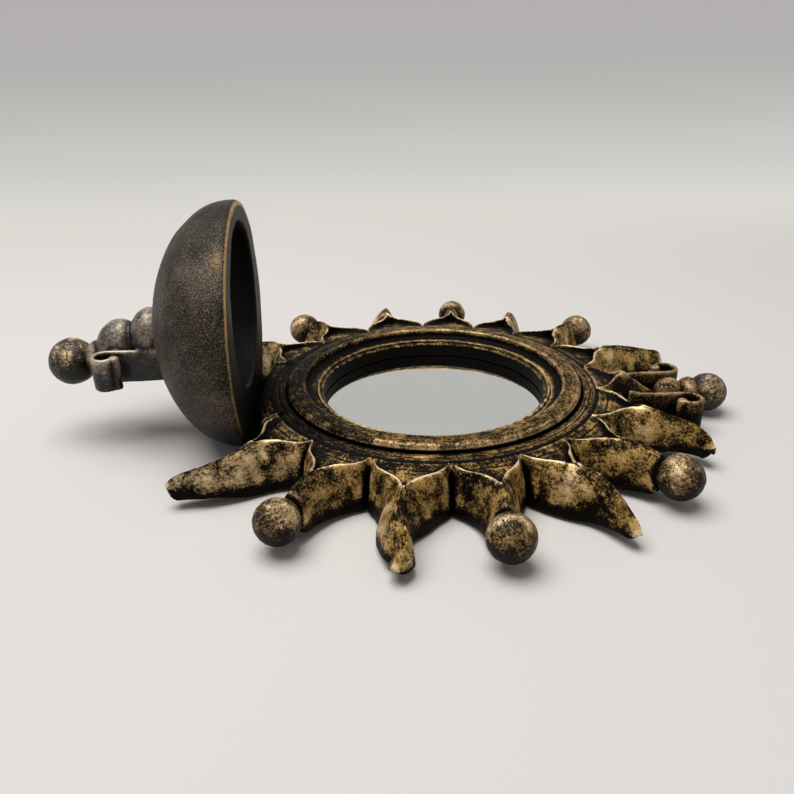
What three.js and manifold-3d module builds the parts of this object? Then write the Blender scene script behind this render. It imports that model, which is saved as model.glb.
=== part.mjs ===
// Girandole mirror: a small sunburst wall mirror with a half-round candle bowl below the glass.
// Millimetres. The back rests on the wall plane z = 0, +Z points out of the wall, +X points up
// the wall to the crest, and the origin is the middle of the back on the mirror's axis.
import * as THREE from 'three';
import { mergeVertices } from 'three/addons/utils/BufferGeometryUtils.js';
import Module from 'manifold-3d';

const wasm = await Module();
wasm.setup();

const fitGap = 0.3;                    // air between two pieces that meet
const roundSteps = 36;                 // facets round the ring, the plate and the glass
const ballSteps = 12;                  // facets round a ball, and rows from end to end
const ballRows = 7;
const drillSteps = 10;                 // facets round a screw or its hole

// Ring, bead and glass
const bandTop = 18;                    // flat band of the ring above the wall
const bandOuterRadius = 50;
const bandInnerRadius = 44;
const ringFootRadius = 50.1;
const ringFootHeight = 12.8;
const coveHeight = 14.8;
const beadOuterRadius = 40.2;
const beadTop = 15.5;
const lipRadius = 38;
const lipTop = 14.1;
const glassRadius = 40;
const glassTop = 9.5;
const glassThickness = 3;

// Plate and back
const pocketRadius = 40.5;             // round pocket that holds the glass
const plateRadius = 55.5;
const plateTop = 15.4;                 // plate beside the groove round the ring's foot
const plateEdgeTop = 15.2;
const ringGroove = 0.8;                // width of the groove between the ring's foot and the plate
const plateBack = 2;
const padThickness = 0.9;
const boardThickness = 3;
const coverRadius = 46;
const coverThickness = 1.7;
const coverScrewRadius = 43.2;
const coverScrewCount = 4;

// Screws, dowels and the wall hanger
const screwHeadRadius = 1.9;
const screwHeadHeight = 0.7;
const screwHeadSink = 0.2;             // heads sit this far inside the back face
const screwShankRadius = 0.9;
const screwLength = 7;
const dowelRadius = 2;
const dowelLength = 13;
const dowelSpread = 9;                 // each dowel beside the bowl's middle
const dowelHeight = 4.6;
const hangerLength = 30;
const hangerWidth = 6;
const hangerThickness = 0.8;
const hangerHeadHeight = 0.5;
const hangerPlace = 49.6;              // distance of the hanger up from the middle
const hangerToothCount = 12;
const hangerToothDepth = 0.9;
const hangerScrewSpread = 12;

// Rays. Valleys between neighbouring rays, in degrees from the crest, alike on both sides.
const valleyAngles = [9.8, 31.7, 50.9, 68.5, 89.6, 112.9, 134.4, 157];
const rayStart = plateRadius + fitGap;
const valleyFoot = 61.5;               // where the valley wall reaches the back
const mergeRadius = 71;                // where the two arms of a ray meet
const armTop = 16.2;
const armStartDrop = 0.8;              // the crest starts this far below armTop, at the plate
const armStartRun = 2.4;               // and rises over this length
const armShare = 0.965;                // arms at the valleys, as a share of the half width
const armSide = 1.9;                   // width of an arm's inner side
const pocketEnd = 3.2;                 // the pocket ends this far before the arms meet
const rayBack = 1;
const skirtTop = 3.4;                  // top of the upright edge round a ray
const floorFall = 0.19;                // fall of the pocket floor for each millimetre outwards
const liftLength = 24;                 // a ray's back rises over this length before its end
const straightRadius = 70;             // rows are bent round the plate up to here
const leanStart = 68;                  // a ray's lean grows from here
const leanFull = 78;                   // to here
const pointedRows = 15;
const ballRayRows = 11;
const crestRows = 10;

// The rays are modelled by hand, so those of the left side (+Y) and of the right side (-Y)
// differ a little. Each list runs from the crest down.
// Pointed rays. ridge: its line after the arms meet, as distance out, sideways from the ray's
// own line (away from the crest) and height. halfWidths: at the distances in widthStations.
// lean: share of its width that a ray gains on the side away from the crest and loses on the other.
const widthStations = [66, 71, 77, 84, 90, 97];
const leftRays = [
  {
    ridge: [[71, 0.6, 16.2], [78, 1.4, 15], [85, 1.2, 13.4], [92, 0.4, 11.4], [99.6, 0, 9.4]],
    halfWidths: [8.2, 6.6, 5.4, 4.6, 3.6, 2.4],
    lift: 3.4,
    lean: 0,
  },
  {
    ridge: [[71, 0, 16.2], [78, 0.7, 14.8], [84, 3, 13.1], [89.5, 6, 11.2], [93.6, 8.4, 9.6]],
    halfWidths: [8, 6, 4.7, 3.8, 3, 2],
    lift: 2,
    lean: 0,
  },
  {
    ridge: [[71, 0, 16.2], [77.5, -0.4, 15.2], [84, -2.5, 13.7], [89.2, -4.4, 11.2], [94, -3.4, 8]],
    halfWidths: [8.8, 7, 6.2, 4.6, 3.4, 2.2],
    lift: 2,
    lean: 0.25,
  },
  {
    ridge: [[71, -0.8, 16], [79, -1.2, 14.4], [86, -0.6, 12.8], [92, 1.6, 11], [97, 3.4, 8.8]],
    halfWidths: [8.4, 6.8, 5.6, 4.6, 3.4, 2.2],
    lift: 3,
    lean: 0,
  },
];
const rightRays = [
  {
    ridge: [[71, 0.6, 16.2], [78, 1.4, 14.6], [85, 2, 13.2], [90, 3.8, 11.4], [93.4, 7.4, 9]],
    halfWidths: [8.2, 6.2, 4.4, 3.4, 2.6, 1.6],
    lift: 5.6,
    lean: 0,
  },
  {
    ridge: [[71, -0.6, 16.2], [77.5, -2.4, 15.2], [84, -2.6, 13], [89.4, -2, 10.4], [94.4, -1.4, 7.8]],
    halfWidths: [8, 6, 4.4, 3.2, 2.4, 1.6],
    lift: 2.8,
    lean: 0,
  },
  {
    ridge: [[71, 0, 16.2], [77.2, 0, 15.4], [83.4, -1.8, 14], [88.3, -3.6, 11], [93.4, -1.3, 7.4]],
    halfWidths: [8.8, 6.4, 4.7, 4, 3, 1.7],
    lift: 2.6,
    lean: 0.4,
  },
  {
    ridge: [[71, -0.6, 16], [78.8, -1, 14.2], [86, 0, 12.8], [92, 2.8, 11.2], [97, 4.6, 9.5]],
    halfWidths: [8.4, 6.6, 5.2, 3.8, 2.8, 1.8],
    lift: 5.5,
    lean: 0,
  },
];

// Ball rays, and the balls at their ends: place along the ray, sideways away from the crest.
const leftBalls = [
  { place: 89, sideways: 2.6, radius: 6.3 },
  { place: 87.2, sideways: 1.1, radius: 5.8 },
  { place: 87.4, sideways: 0.9, radius: 6.3 },
];
const rightBalls = [
  { place: 89.2, sideways: 0, radius: 6.9 },
  { place: 86.3, sideways: 3.1, radius: 6.8 },
  { place: 88.2, sideways: -1, radius: 6.6 },
];
const ballHeight = 9.3;
const ballRidgeSteps = [[-17, 0.1, 16.2], [-12.1, 0.35, 15.9], [-8.1, 0.65, 15.2], [-4.1, 0.9, 14.4]];
const ballHalfWidths = [8, 6, 4.9, 4.5, 4.5, 4.5];
const ballRayLift = 2.2;
const ballFlat = 0.35;                 // depth of the flat where a ball meets its ray
const pegRadius = 1.5;
const pegLength = 3;

// Crest finial above the mirror
const crestBallRadius = 6.7;
const crestBallPlace = 97.6;
const crestBallHeight = 8.1;
const crestRidge = [[66, 0, 16.2], [70, 0, 14.4], [74, 0, 11.6], [79, 0, 8.8]];
const crestHalfWidths = [7, 5.4, 3.6, 3, 3, 3];
const crestMerge = 66;
const crestLobe = { centre: [83.6, 0, 7.1], size: [5.4, 4.9, 5.4] };
const crestBead = { centre: [90.4, 0, 7.3], size: [3.4, 4.2, 3.9] };
const crestCollar = { centre: [94.1, 0, 7.6], size: [1.1, 3.5, 3.3] };
const crestScroll = {
  path: [[67.5, 6.2], [71, 8.2], [79, 8.9], [86.4, 8.8]],
  eye: [86.4, 13.2],
  bottom: 1.6,
  top: 12.6,
};

// Candle bowl, half round, fixed below the mirror with its mouth towards the glass
const rimPlace = -62.4;
const bowlAxisHeight = 38.8;
const rimRadius = 39.1;
const bowlRadius = 40.6;
const bowlShoulder = 2;                // from the rim back to the fullest part
const bowlDepth = 29.3;
const mouthRadius = 27.2;
const mouthHeight = 45.8;
const mouthDepth = 20;
const bowlSteps = 30;
const shoulderRows = 3;
const bowlRows = 8;
const mouthRows = 16;
const seatFloor = 8;                   // floor between ring and bowl where it meets the rim
const seatHalfWidth = 24.5;
const spurInner = 0.8;                 // the last valleys' ends run along the seat's edges,
const spurTopShares = [0.94, 0.98];    // given as shares of its half width

// Pendant finial on the bowl's apex
const pendantBallRadius = 7.8;
const pendantBall = [-121.8, 0, 27.4];
const pendantBead = { centre: [-113.2, 0, 28], size: [4, 6.2, 6.4] };
const pendantLobe = { centre: [-104.6, 0, 30.6], size: [8.6, 8.6, 11] };
const pendantRoot = { centre: [-94, 0, 33.2], size: [8, 9.6, 12.2] };
const pendantScroll = {
  path: [[-86, 8.2], [-92, 9], [-98, 9.3], [-106.4, 9.2]],
  eye: [-106.4, 13.6],
  bottom: 23.2,
  top: 34.4,
};
const pendantScrewHeight = 33;
const pendantScrewHead = -79.2;
const pendantScrewEnd = -104;
const pendantScrewRadius = 1.8;
const pendantHeadRadius = 3.4;
const pendantHeadHeight = 1.2;

const scrollThickness = 1.9;
const scrollKnobRadius = 1.7;
const scrollTurn = 250;                // degrees that a scroll's curl turns round its eye
const scrollTighten = 0.28;            // share of its radius that the curl loses on the way
const scrollSteps = 14;

const bronze = { color: 0x3a2c17, roughness: 0.55, metalness: 0.35 };
const bowlBronze = { color: 0x2e261c, roughness: 0.6, metalness: 0.3 };
const silvered = { color: 0xb4b8b6, roughness: 0.04, metalness: 1 };
const felt = { color: 0x1d1d1d, roughness: 0.95, metalness: 0 };
const hardboard = { color: 0x5f4025, roughness: 0.8, metalness: 0 };
const steel = { color: 0x9b9b98, roughness: 0.35, metalness: 0.9 };
const beech = { color: 0xb48a58, roughness: 0.7, metalness: 0 };

const mirrorAssembly = new THREE.Group();

function addPiece(name, geometry, finish) {
  const mesh = new THREE.Mesh(geometry, new THREE.MeshStandardMaterial(finish));
  mesh.name = name;
  mirrorAssembly.add(mesh);
  return mesh;
}

// Closed geometry to a solid: shared corners merged, flattened triangles dropped.
function solidOf(geometry) {
  const plain = geometry.clone();
  plain.deleteAttribute('normal');
  plain.deleteAttribute('uv');
  const merged = mergeVertices(plain, 1e-4);
  const corners = merged.index.array;
  const kept = [];
  for (let i = 0; i < corners.length; i += 3) {
    const [a, b, c] = [corners[i], corners[i + 1], corners[i + 2]];
    if (a !== b && b !== c && c !== a) kept.push(a, b, c);
  }
  const mesh = new wasm.Mesh({
    numProp: 3,
    vertProperties: new Float32Array(merged.attributes.position.array),
    triVerts: new Uint32Array(kept),
  });
  return new wasm.Manifold(mesh);
}

function geometryOf(solid) {
  const mesh = solid.getMesh();
  const geometry = new THREE.BufferGeometry();
  geometry.setAttribute('position', new THREE.BufferAttribute(new Float32Array(mesh.vertProperties), 3));
  geometry.setIndex(new THREE.BufferAttribute(new Uint32Array(mesh.triVerts), 1));
  geometry.computeVertexNormals();
  return geometry;
}

// A turned solid about +Z. The profile lists [radius, height] and starts and ends on the
// axis, or closes on itself, running up the outside.
function turned(profile, steps) {
  const points = profile.map(([radius, height]) => new THREE.Vector2(radius, height));
  return new THREE.LatheGeometry(points, steps).rotateX(Math.PI / 2);
}

function ringProfile(points) {
  return [...points, points[0]];
}

function disc(radius, bottom, top, steps) {
  return turned([[0, bottom], [radius, bottom], [radius, top], [0, top]], steps);
}

function drill(radius, top) {
  return solidOf(disc(radius, -1, top, drillSteps));
}

function ellipsoid({ centre, size }, steps = ballSteps, rows = ballRows) {
  const [x, y, z] = centre;
  return new THREE.SphereGeometry(1, steps, rows).scale(...size).translate(x, y, z);
}

function rodAlongX(radius, start, end, y, z, steps = 12) {
  const length = Math.abs(end - start);
  const rod = new THREE.CylinderGeometry(radius, radius, length, steps).rotateZ(Math.PI / 2);
  return rod.translate((start + end) / 2, y, z);
}

function smoothStep(value, low, high) {
  return THREE.MathUtils.smoothstep(value, low, high);
}

// Straight-line reading of values given at stations.
function readAlong(stations, values, place) {
  if (place <= stations[0]) return values[0];
  for (let i = 1; i < stations.length; i += 1) {
    if (place <= stations[i]) {
      const share = (place - stations[i - 1]) / (stations[i] - stations[i - 1]);
      return THREE.MathUtils.lerp(values[i - 1], values[i], share);
    }
  }
  return values[values.length - 1];
}

// ---- ring, bead, glass and back ----

function bezelRing() {
  return turned(ringProfile([
    [pocketRadius, ringFootHeight],
    [ringFootRadius, ringFootHeight],
    [ringFootRadius - 0.2, ringFootHeight + 2.2],
    [bandOuterRadius + 0.4, bandTop - 1.8],
    [bandOuterRadius - 0.7, bandTop],
    [bandInnerRadius + 0.6, bandTop],
    [bandInnerRadius, bandTop - 0.5],
    [bandInnerRadius - 0.4, coveHeight + 0.9],
    [bandInnerRadius - 2, coveHeight + 0.1],
    [pocketRadius, coveHeight],
  ]), roundSteps);
}

function mirrorBead() {
  const bottom = glassTop + fitGap;
  const beadMiddle = beadOuterRadius - 0.7;
  return turned(ringProfile([
    [lipRadius, bottom],
    [beadOuterRadius, bottom],
    [beadOuterRadius, beadTop - 0.5],
    [beadMiddle, beadTop],
    [beadMiddle - 0.8, lipTop + 0.4],
    [lipRadius + 0.3, lipTop],
    [lipRadius, lipTop - 0.4],
  ]), roundSteps);
}

function basePlate() {
  const seat = ringFootHeight - fitGap;
  const body = solidOf(turned(ringProfile([
    [pocketRadius, plateBack],
    [plateRadius, plateBack],
    [plateRadius, plateEdgeTop],
    [ringFootRadius + ringGroove + 0.2, plateTop],
    [ringFootRadius + ringGroove, seat],
    [pocketRadius, seat],
  ]), roundSteps));
  return geometryOf(body.subtract(screwHoles()));
}

function screwHoles() {
  const [first, ...others] = screwPlaces().map(([x, y]) => {
    return drill(screwShankRadius + fitGap, screwLength + 1).translate([x, y, 0]);
  });
  return others.reduce((all, hole) => all.add(hole), first);
}

function coverScrewPlaces() {
  return Array.from({ length: coverScrewCount }, (_, i) => {
    const angle = ((i + 0.5) / coverScrewCount) * 2 * Math.PI;
    return [coverScrewRadius * Math.cos(angle), coverScrewRadius * Math.sin(angle)];
  });
}

function hangerScrewPlaces() {
  return [[hangerPlace, -hangerScrewSpread], [hangerPlace, hangerScrewSpread]];
}

function screwPlaces() {
  return [...coverScrewPlaces(), ...hangerScrewPlaces()];
}

// Flat head at the bottom, shank up into the plate.
function screw(headBottom, headHeight) {
  const headTop = headBottom + headHeight;
  return turned([
    [0, headBottom],
    [screwHeadRadius, headBottom],
    [screwHeadRadius, headTop],
    [screwShankRadius, headTop],
    [screwShankRadius, screwLength - 0.6],
    [0, screwLength],
  ], drillSteps);
}

function backCover() {
  let cover = solidOf(disc(coverRadius, 0, coverThickness, roundSteps));
  const headRoom = screwHeadSink + screwHeadHeight + fitGap;
  for (const [x, y] of coverScrewPlaces()) {
    cover = cover.subtract(drill(screwHeadRadius + fitGap, headRoom).translate([x, y, 0]));
    cover = cover.subtract(drill(screwShankRadius + fitGap, coverThickness + 1).translate([x, y, 0]));
  }
  return geometryOf(cover);
}

// Steel strip with a row of teeth along the middle of its lower edge, for a nail to catch in.
function wallHanger() {
  const outline = new THREE.Shape();
  const [half, edge] = [hangerLength / 2, hangerWidth / 2];
  const pitch = half / hangerToothCount;
  outline.moveTo(-half, edge);
  outline.lineTo(-half, -edge);
  outline.lineTo(-half / 2, -edge);
  for (let i = 0; i < hangerToothCount; i += 1) {
    const start = -half / 2 + i * pitch;
    outline.lineTo(start + pitch / 2, hangerToothDepth - edge);
    outline.lineTo(start + pitch, -edge);
  }
  outline.lineTo(half, -edge);
  outline.lineTo(half, edge);
  outline.closePath();
  const strip = new THREE.ExtrudeGeometry(outline, { depth: hangerThickness, bevelEnabled: false });
  strip.rotateZ(Math.PI / 2).translate(hangerPlace, 0, plateBack - fitGap - hangerThickness);
  let body = solidOf(strip);
  for (const [x, y] of hangerScrewPlaces()) {
    body = body.subtract(drill(screwShankRadius + fitGap, plateBack + 1).translate([x, y, 0]));
  }
  return geometryOf(body);
}

// ---- rays ----

// How far a row bends back beside the middle: round the plate at the start, straight later.
function arcSag(out, side) {
  const arc = rayStart * (1 - Math.sqrt(1 - (side / rayStart) ** 2));
  return arc * (1 - smoothStep(out, rayStart, straightRadius));
}

// Line of a ray's crest: a short rise beside the plate, level along the arms, then the ridge.
function crestLine(ridge) {
  const start = [
    [rayStart, 0, armTop - armStartDrop],
    [rayStart + armStartRun, 0, armTop - 0.5],
    [valleyFoot + 0.5, 0, armTop],
  ];
  const points = [...start, ...ridge].map((point) => new THREE.Vector3(...point));
  return new THREE.CatmullRomCurve3(points, false, 'centripetal');
}

// Half width of a ray, kept off its neighbours near the plate.
function halfWidthAt({ halfPitch, halfWidths }, out) {
  const spread = Math.tan(THREE.MathUtils.degToRad(halfPitch));
  const inValley = (out - arcSag(out, out * spread)) * spread - fitGap * 0.55;
  const stations = [valleyFoot, ...widthStations];
  return Math.min(inValley, readAlong(stations, [valleyFoot * spread, ...halfWidths], out));
}

// Height of a ray's top at a share of its half width: the pocket floor between the arms, the
// arm's inner side, and the flank that rounds over and falls to the upright skirt.
function heightAcross(size, { arm, foot, crest, out, merge }) {
  const pocket = 1 - smoothStep(out, merge - pocketEnd, merge - 0.4);
  const floor = plateEdgeTop - floorFall * (out - rayStart);
  if (size < foot + 1e-6) return THREE.MathUtils.lerp(crest + 0.1, Math.min(floor, crest), pocket);
  if (size < arm + 1e-6) return crest;
  const skirt = [plateEdgeTop, armTop - 1, skirtTop];
  const edge = Math.min(readAlong([rayStart, rayStart + 1.5, valleyFoot], skirt, out), crest - 1);
  const down = (size - arm) / (1 - arm);
  return edge + (crest - edge) * (1 - 0.45 * down - 0.55 * down ** 3.5);
}

// One ray along its own line, as rows of cross-sections from the plate to the end. Near the
// plate two arms run in from the valleys and enclose a sunk pocket; they meet and go on as
// one ridge. Columns run across: edge, two on the flank, arm, foot of the arm, middle.
function rayRows(ray) {
  const { merge, ridge, lift, lean = 0, rowCount, tipShape } = ray;
  const line = crestLine(ridge);
  const end = ridge[ridge.length - 1][0];
  return Array.from({ length: rowCount + 1 }, (_, i) => {
    const share = i / rowCount;
    const point = line.getPointAt(share);
    const tangent = line.getTangentAt(share).setZ(0).normalize();
    const halfWidth = halfWidthAt(ray, point.x) * tipShape(share);
    const arm = Math.max(0.1, armShare * (1 - smoothStep(point.x, rayStart + 0.6, merge)));
    const foot = Math.max(arm * 0.45, arm - armSide / halfWidth);
    const leaning = lean * smoothStep(point.x, leanStart, leanFull);
    const flank = [0.78, 0.4].map((down) => -arm - (1 - arm) * down);
    const columns = [-1, ...flank, -arm, -foot, 0];
    const across = [...columns, ...columns.slice(0, -1).reverse().map((place) => -place)];
    const top = across.map((place) => {
      const side = place * halfWidth * (1 + leaning * Math.sign(place));
      const inwards = tangent.y * side + arcSag(point.x, side);
      const height = heightAcross(Math.abs(place), { arm, foot, crest: point.z, out: point.x, merge });
      return [point.x - inwards, point.y + tangent.x * side, height];
    });
    return { top, bottom: backOf(top, rayBack + lift * smoothStep(point.x, end - liftLength, end)) };
  });
}

// Both edges and the middle of a row, dropped to the back.
function backOf(top, height) {
  return [0, (top.length - 1) / 2, top.length - 1].map((column) => [...top[column].slice(0, 2), height]);
}

// Rows of a ray joined to one closed surface: top, back, two sides and two ends.
function closedRows(rows) {
  const positions = [];
  const columns = rows[0].top.length;
  const perRow = columns + 3;
  rows.forEach(({ top, bottom }) => [...top, ...bottom].forEach((point) => positions.push(...point)));
  const topAt = (row, column) => row * perRow + column;
  const backAt = (row, column) => row * perRow + columns + column;
  const faces = [];
  const quad = (a, b, c, d) => faces.push(a, b, c, a, c, d);
  const last = columns - 1;
  for (let row = 0; row < rows.length - 1; row += 1) {
    for (let column = 0; column < last; column += 1) {
      quad(topAt(row, column), topAt(row + 1, column), topAt(row + 1, column + 1), topAt(row, column + 1));
    }
    quad(backAt(row, 0), backAt(row, 1), backAt(row + 1, 1), backAt(row + 1, 0));
    quad(backAt(row, 1), backAt(row, 2), backAt(row + 1, 2), backAt(row + 1, 1));
    quad(topAt(row, 0), backAt(row, 0), backAt(row + 1, 0), topAt(row + 1, 0));
    quad(topAt(row, last), topAt(row + 1, last), backAt(row + 1, 2), backAt(row, 2));
  }
  const far = rows.length - 1;
  for (let column = 0; column < last; column += 1) {
    faces.push(backAt(0, 1), topAt(0, column), topAt(0, column + 1));
    faces.push(backAt(far, 1), topAt(far, column + 1), topAt(far, column));
  }
  faces.push(backAt(0, 1), backAt(0, 0), topAt(0, 0));
  faces.push(backAt(0, 1), topAt(0, last), backAt(0, 2));
  faces.push(backAt(far, 1), topAt(far, 0), backAt(far, 0));
  faces.push(backAt(far, 1), backAt(far, 2), topAt(far, last));
  const geometry = new THREE.BufferGeometry();
  geometry.setAttribute('position', new THREE.BufferAttribute(new Float32Array(positions), 3));
  geometry.setIndex(faces);
  return geometry;
}

function turnAbout(geometry, degrees) {
  return geometry.rotateZ(THREE.MathUtils.degToRad(degrees));
}

// side is 1 for rays on the left side, seen from the front, and -1 for the right side.
function sidedRidge(ridge, side) {
  return ridge.map(([out, sideways, height]) => [out, sideways * side, height]);
}

function pointedRay(shape, halfPitch, side) {
  return closedRows(rayRows({
    ...shape,
    ridge: sidedRidge(shape.ridge, side),
    lean: shape.lean * side,
    halfPitch,
    merge: mergeRadius,
    rowCount: pointedRows,
    tipShape: (share) => Math.sqrt(Math.max(0.12, 1 - share ** 14)),
  }));
}

// Ball with a flat where it meets its ray and a peg that goes into the ray's end. The ball's
// middle is at the origin and the peg points along -X; grow is extra size all over.
function pegBall(radius, grow = 0) {
  const flat = radius - ballFlat;
  const rise = Math.acos(flat / radius);
  const pegEnd = flat + pegLength + grow;
  const profile = [[0, -pegEnd], [pegRadius + grow, -pegEnd], [pegRadius + grow, -flat - grow]];
  for (let i = 0; i < ballRows; i += 1) {
    const angle = rise + ((Math.PI - rise) * i) / ballRows;
    profile.push([(radius + grow) * Math.sin(angle), -(radius + grow) * Math.cos(angle)]);
  }
  profile.push([0, radius + grow]);
  return turned(profile, ballSteps).rotateY(Math.PI / 2);
}

function placedBall({ place, sideways, radius }, side, grow = 0) {
  return pegBall(radius, grow).translate(place, sideways * side, ballHeight);
}

// A ball ray leans over to its ball and ends round it.
function ballRay(ball, halfPitch, side) {
  const { place, sideways } = ball;
  const body = solidOf(closedRows(rayRows({
    halfPitch,
    merge: mergeRadius,
    ridge: ballRidgeSteps.map(([back, share, height]) => [place + back, share * sideways * side, height]),
    halfWidths: ballHalfWidths,
    lift: ballRayLift,
    rowCount: ballRayRows,
    tipShape: () => 1,
  })));
  return geometryOf(body.subtract(solidOf(placedBall(ball, side, fitGap))));
}

// Pointed rays and ball rays take turns from the crest down each side; those of the right side
// are numbered after those of the left.
function addRays() {
  const left = { side: 1, rays: leftRays, balls: leftBalls, raysBefore: 0, ballsBefore: 0 };
  const right = { side: -1, rays: rightRays, balls: rightBalls };
  right.raysBefore = leftRays.length;
  right.ballsBefore = leftBalls.length;
  for (const { side, rays, balls, raysBefore, ballsBefore } of [left, right]) {
    for (let i = 0; i < valleyAngles.length - 1; i += 1) {
      const middle = side * (valleyAngles[i] + valleyAngles[i + 1]) / 2;
      const halfPitch = (valleyAngles[i + 1] - valleyAngles[i]) / 2;
      const place = Math.floor(i / 2);
      if (i % 2 === 0) {
        const ray = pointedRay(rays[place], halfPitch, side);
        addPiece(`pointed_ray_${place + 1 + raysBefore}`, turnAbout(ray, middle), bronze);
      } else {
        const number = place + 1 + ballsBefore;
        const ball = balls[place];
        addPiece(`ball_ray_${number}`, turnAbout(ballRay(ball, halfPitch, side), middle), bronze);
        addPiece(`ray_ball_${number}`, turnAbout(placedBall(ball, side), middle), bronze);
      }
    }
  }
}

// ---- finials ----

// Middle line of a scroll: its path, then a curl that tightens round the eye.
function scrollLine({ path, eye }) {
  const along = new THREE.SplineCurve(path.map(([x, y]) => new THREE.Vector2(x, y))).getPoints(8);
  const [eyeX, eyeY] = eye;
  const last = path[path.length - 1];
  const heading = Math.sign(last[0] - path[0][0]);
  const curl = Array.from({ length: scrollSteps }, (_, i) => {
    const share = (i + 1) / scrollSteps;
    const turn = THREE.MathUtils.degToRad(scrollTurn * share);
    const radius = (eyeY - last[1]) * (1 - scrollTighten * share);
    return new THREE.Vector2(eyeX + heading * radius * Math.sin(turn), eyeY - radius * Math.cos(turn));
  });
  return [...along, ...curl];
}

// The line moved sideways by half the band's thickness.
function offsetLine(line, sign) {
  const half = (sign * scrollThickness) / 2;
  return line.map((point, i) => {
    const before = line[Math.max(0, i - 1)];
    const after = line[Math.min(line.length - 1, i + 1)];
    const direction = after.clone().sub(before).normalize();
    return new THREE.Vector2(point.x - half * direction.y, point.y + half * direction.x);
  });
}

// A standing band along the scroll's line, with a rolled end.
function scroll(shape, side) {
  const { bottom, top } = shape;
  const line = scrollLine(shape);
  const outline = new THREE.Shape([...offsetLine(line, 1), ...offsetLine(line, -1).reverse()]);
  const band = new THREE.ExtrudeGeometry(outline, { depth: top - bottom, bevelEnabled: false });
  const knobPlace = line[line.length - 1];
  const knob = new THREE.CylinderGeometry(scrollKnobRadius, scrollKnobRadius, top - bottom, drillSteps);
  knob.rotateX(Math.PI / 2).translate(knobPlace.x, knobPlace.y, (top - bottom) / 2);
  const body = solidOf(band).add(solidOf(knob)).translate([0, 0, bottom]);
  return side === 1 ? body : body.mirror([0, 1, 0]);
}

function crestPegBall(grow = 0) {
  return pegBall(crestBallRadius, grow).translate(crestBallPlace, 0, crestBallHeight);
}

function crestFinial() {
  let body = solidOf(closedRows(rayRows({
    halfPitch: valleyAngles[0],
    merge: crestMerge,
    ridge: crestRidge,
    halfWidths: crestHalfWidths,
    lift: 0,
    rowCount: crestRows,
    tipShape: () => 1,
  })));
  for (const part of [crestLobe, crestBead, crestCollar]) {
    body = body.add(solidOf(ellipsoid(part)));
  }
  body = body.add(scroll(crestScroll, 1)).add(scroll(crestScroll, -1));
  return geometryOf(body.subtract(solidOf(crestPegBall(fitGap))));
}

// The pendant's ball points down the wall, so its peg points back along +X.
function pendantPegBall(grow = 0) {
  return pegBall(pendantBallRadius, grow).rotateZ(Math.PI).translate(...pendantBall);
}

function pendantFinial() {
  let body = solidOf(ellipsoid(pendantRoot));
  for (const part of [pendantLobe, pendantBead]) {
    body = body.add(solidOf(ellipsoid(part)));
  }
  body = body.add(scroll(pendantScroll, 1)).add(scroll(pendantScroll, -1));
  const boreRadius = pendantScrewRadius + fitGap;
  const bore = rodAlongX(boreRadius, pendantScrewHead, pendantScrewEnd - 1, 0, pendantScrewHeight);
  body = body.subtract(solidOf(pendantPegBall(fitGap))).subtract(solidOf(bore));
  return geometryOf(body.subtract(bowlBody(fitGap)));
}

// ---- bowl ----

// Outer form of the bowl, turned about the line y = 0, z = bowlAxisHeight; grow is extra size.
function bowlBody(grow) {
  const profile = [[0, 0], [rimRadius + grow, 0]];
  for (let i = 1; i <= shoulderRows; i += 1) {
    const turn = ((i / shoulderRows) * Math.PI) / 2;
    const radius = rimRadius + (bowlRadius - rimRadius) * Math.sin(turn);
    profile.push([radius + grow, bowlShoulder * (1 - Math.cos(turn))]);
  }
  for (let i = 1; i < bowlRows; i += 1) {
    const turn = ((i / bowlRows) * Math.PI) / 2;
    const height = bowlShoulder + (bowlDepth + grow - bowlShoulder) * Math.sin(turn);
    profile.push([(bowlRadius + grow) * Math.cos(turn), height]);
  }
  profile.push([0, bowlDepth + grow]);
  const form = turned(profile, bowlSteps).rotateY(-Math.PI / 2);
  return solidOf(form.translate(rimPlace, 0, bowlAxisHeight));
}

function candleBowl() {
  const mouth = ellipsoid({
    centre: [rimPlace, 0, mouthHeight],
    size: [mouthDepth, mouthRadius, mouthRadius],
  }, bowlSteps, mouthRows);
  const wallSize = 3 * bowlRadius;
  const behindWall = new THREE.BoxGeometry(wallSize, wallSize, wallSize);
  behindWall.translate(rimPlace, 0, -wallSize / 2);
  let body = bowlBody(0).subtract(solidOf(mouth)).subtract(solidOf(behindWall));
  body = body.subtract(dowelHoles());
  const shankRoom = [pendantScrewRadius + fitGap, rimPlace, pendantScrewEnd];
  const headRoom = [pendantHeadRadius + fitGap, rimPlace, pendantScrewHead - fitGap];
  for (const room of [shankRoom, headRoom]) {
    body = body.subtract(solidOf(rodAlongX(...room, 0, pendantScrewHeight)));
  }
  return geometryOf(body);
}

function dowelRod(side, radius, extra) {
  const start = rimPlace + dowelLength / 2 + extra;
  const end = rimPlace - dowelLength / 2 - extra;
  return rodAlongX(radius, start, end, side * dowelSpread, dowelHeight);
}

function dowelHoles() {
  const [right, left] = [1, -1].map((side) => solidOf(dowelRod(side, dowelRadius + fitGap, fitGap)));
  return right.add(left);
}

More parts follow.
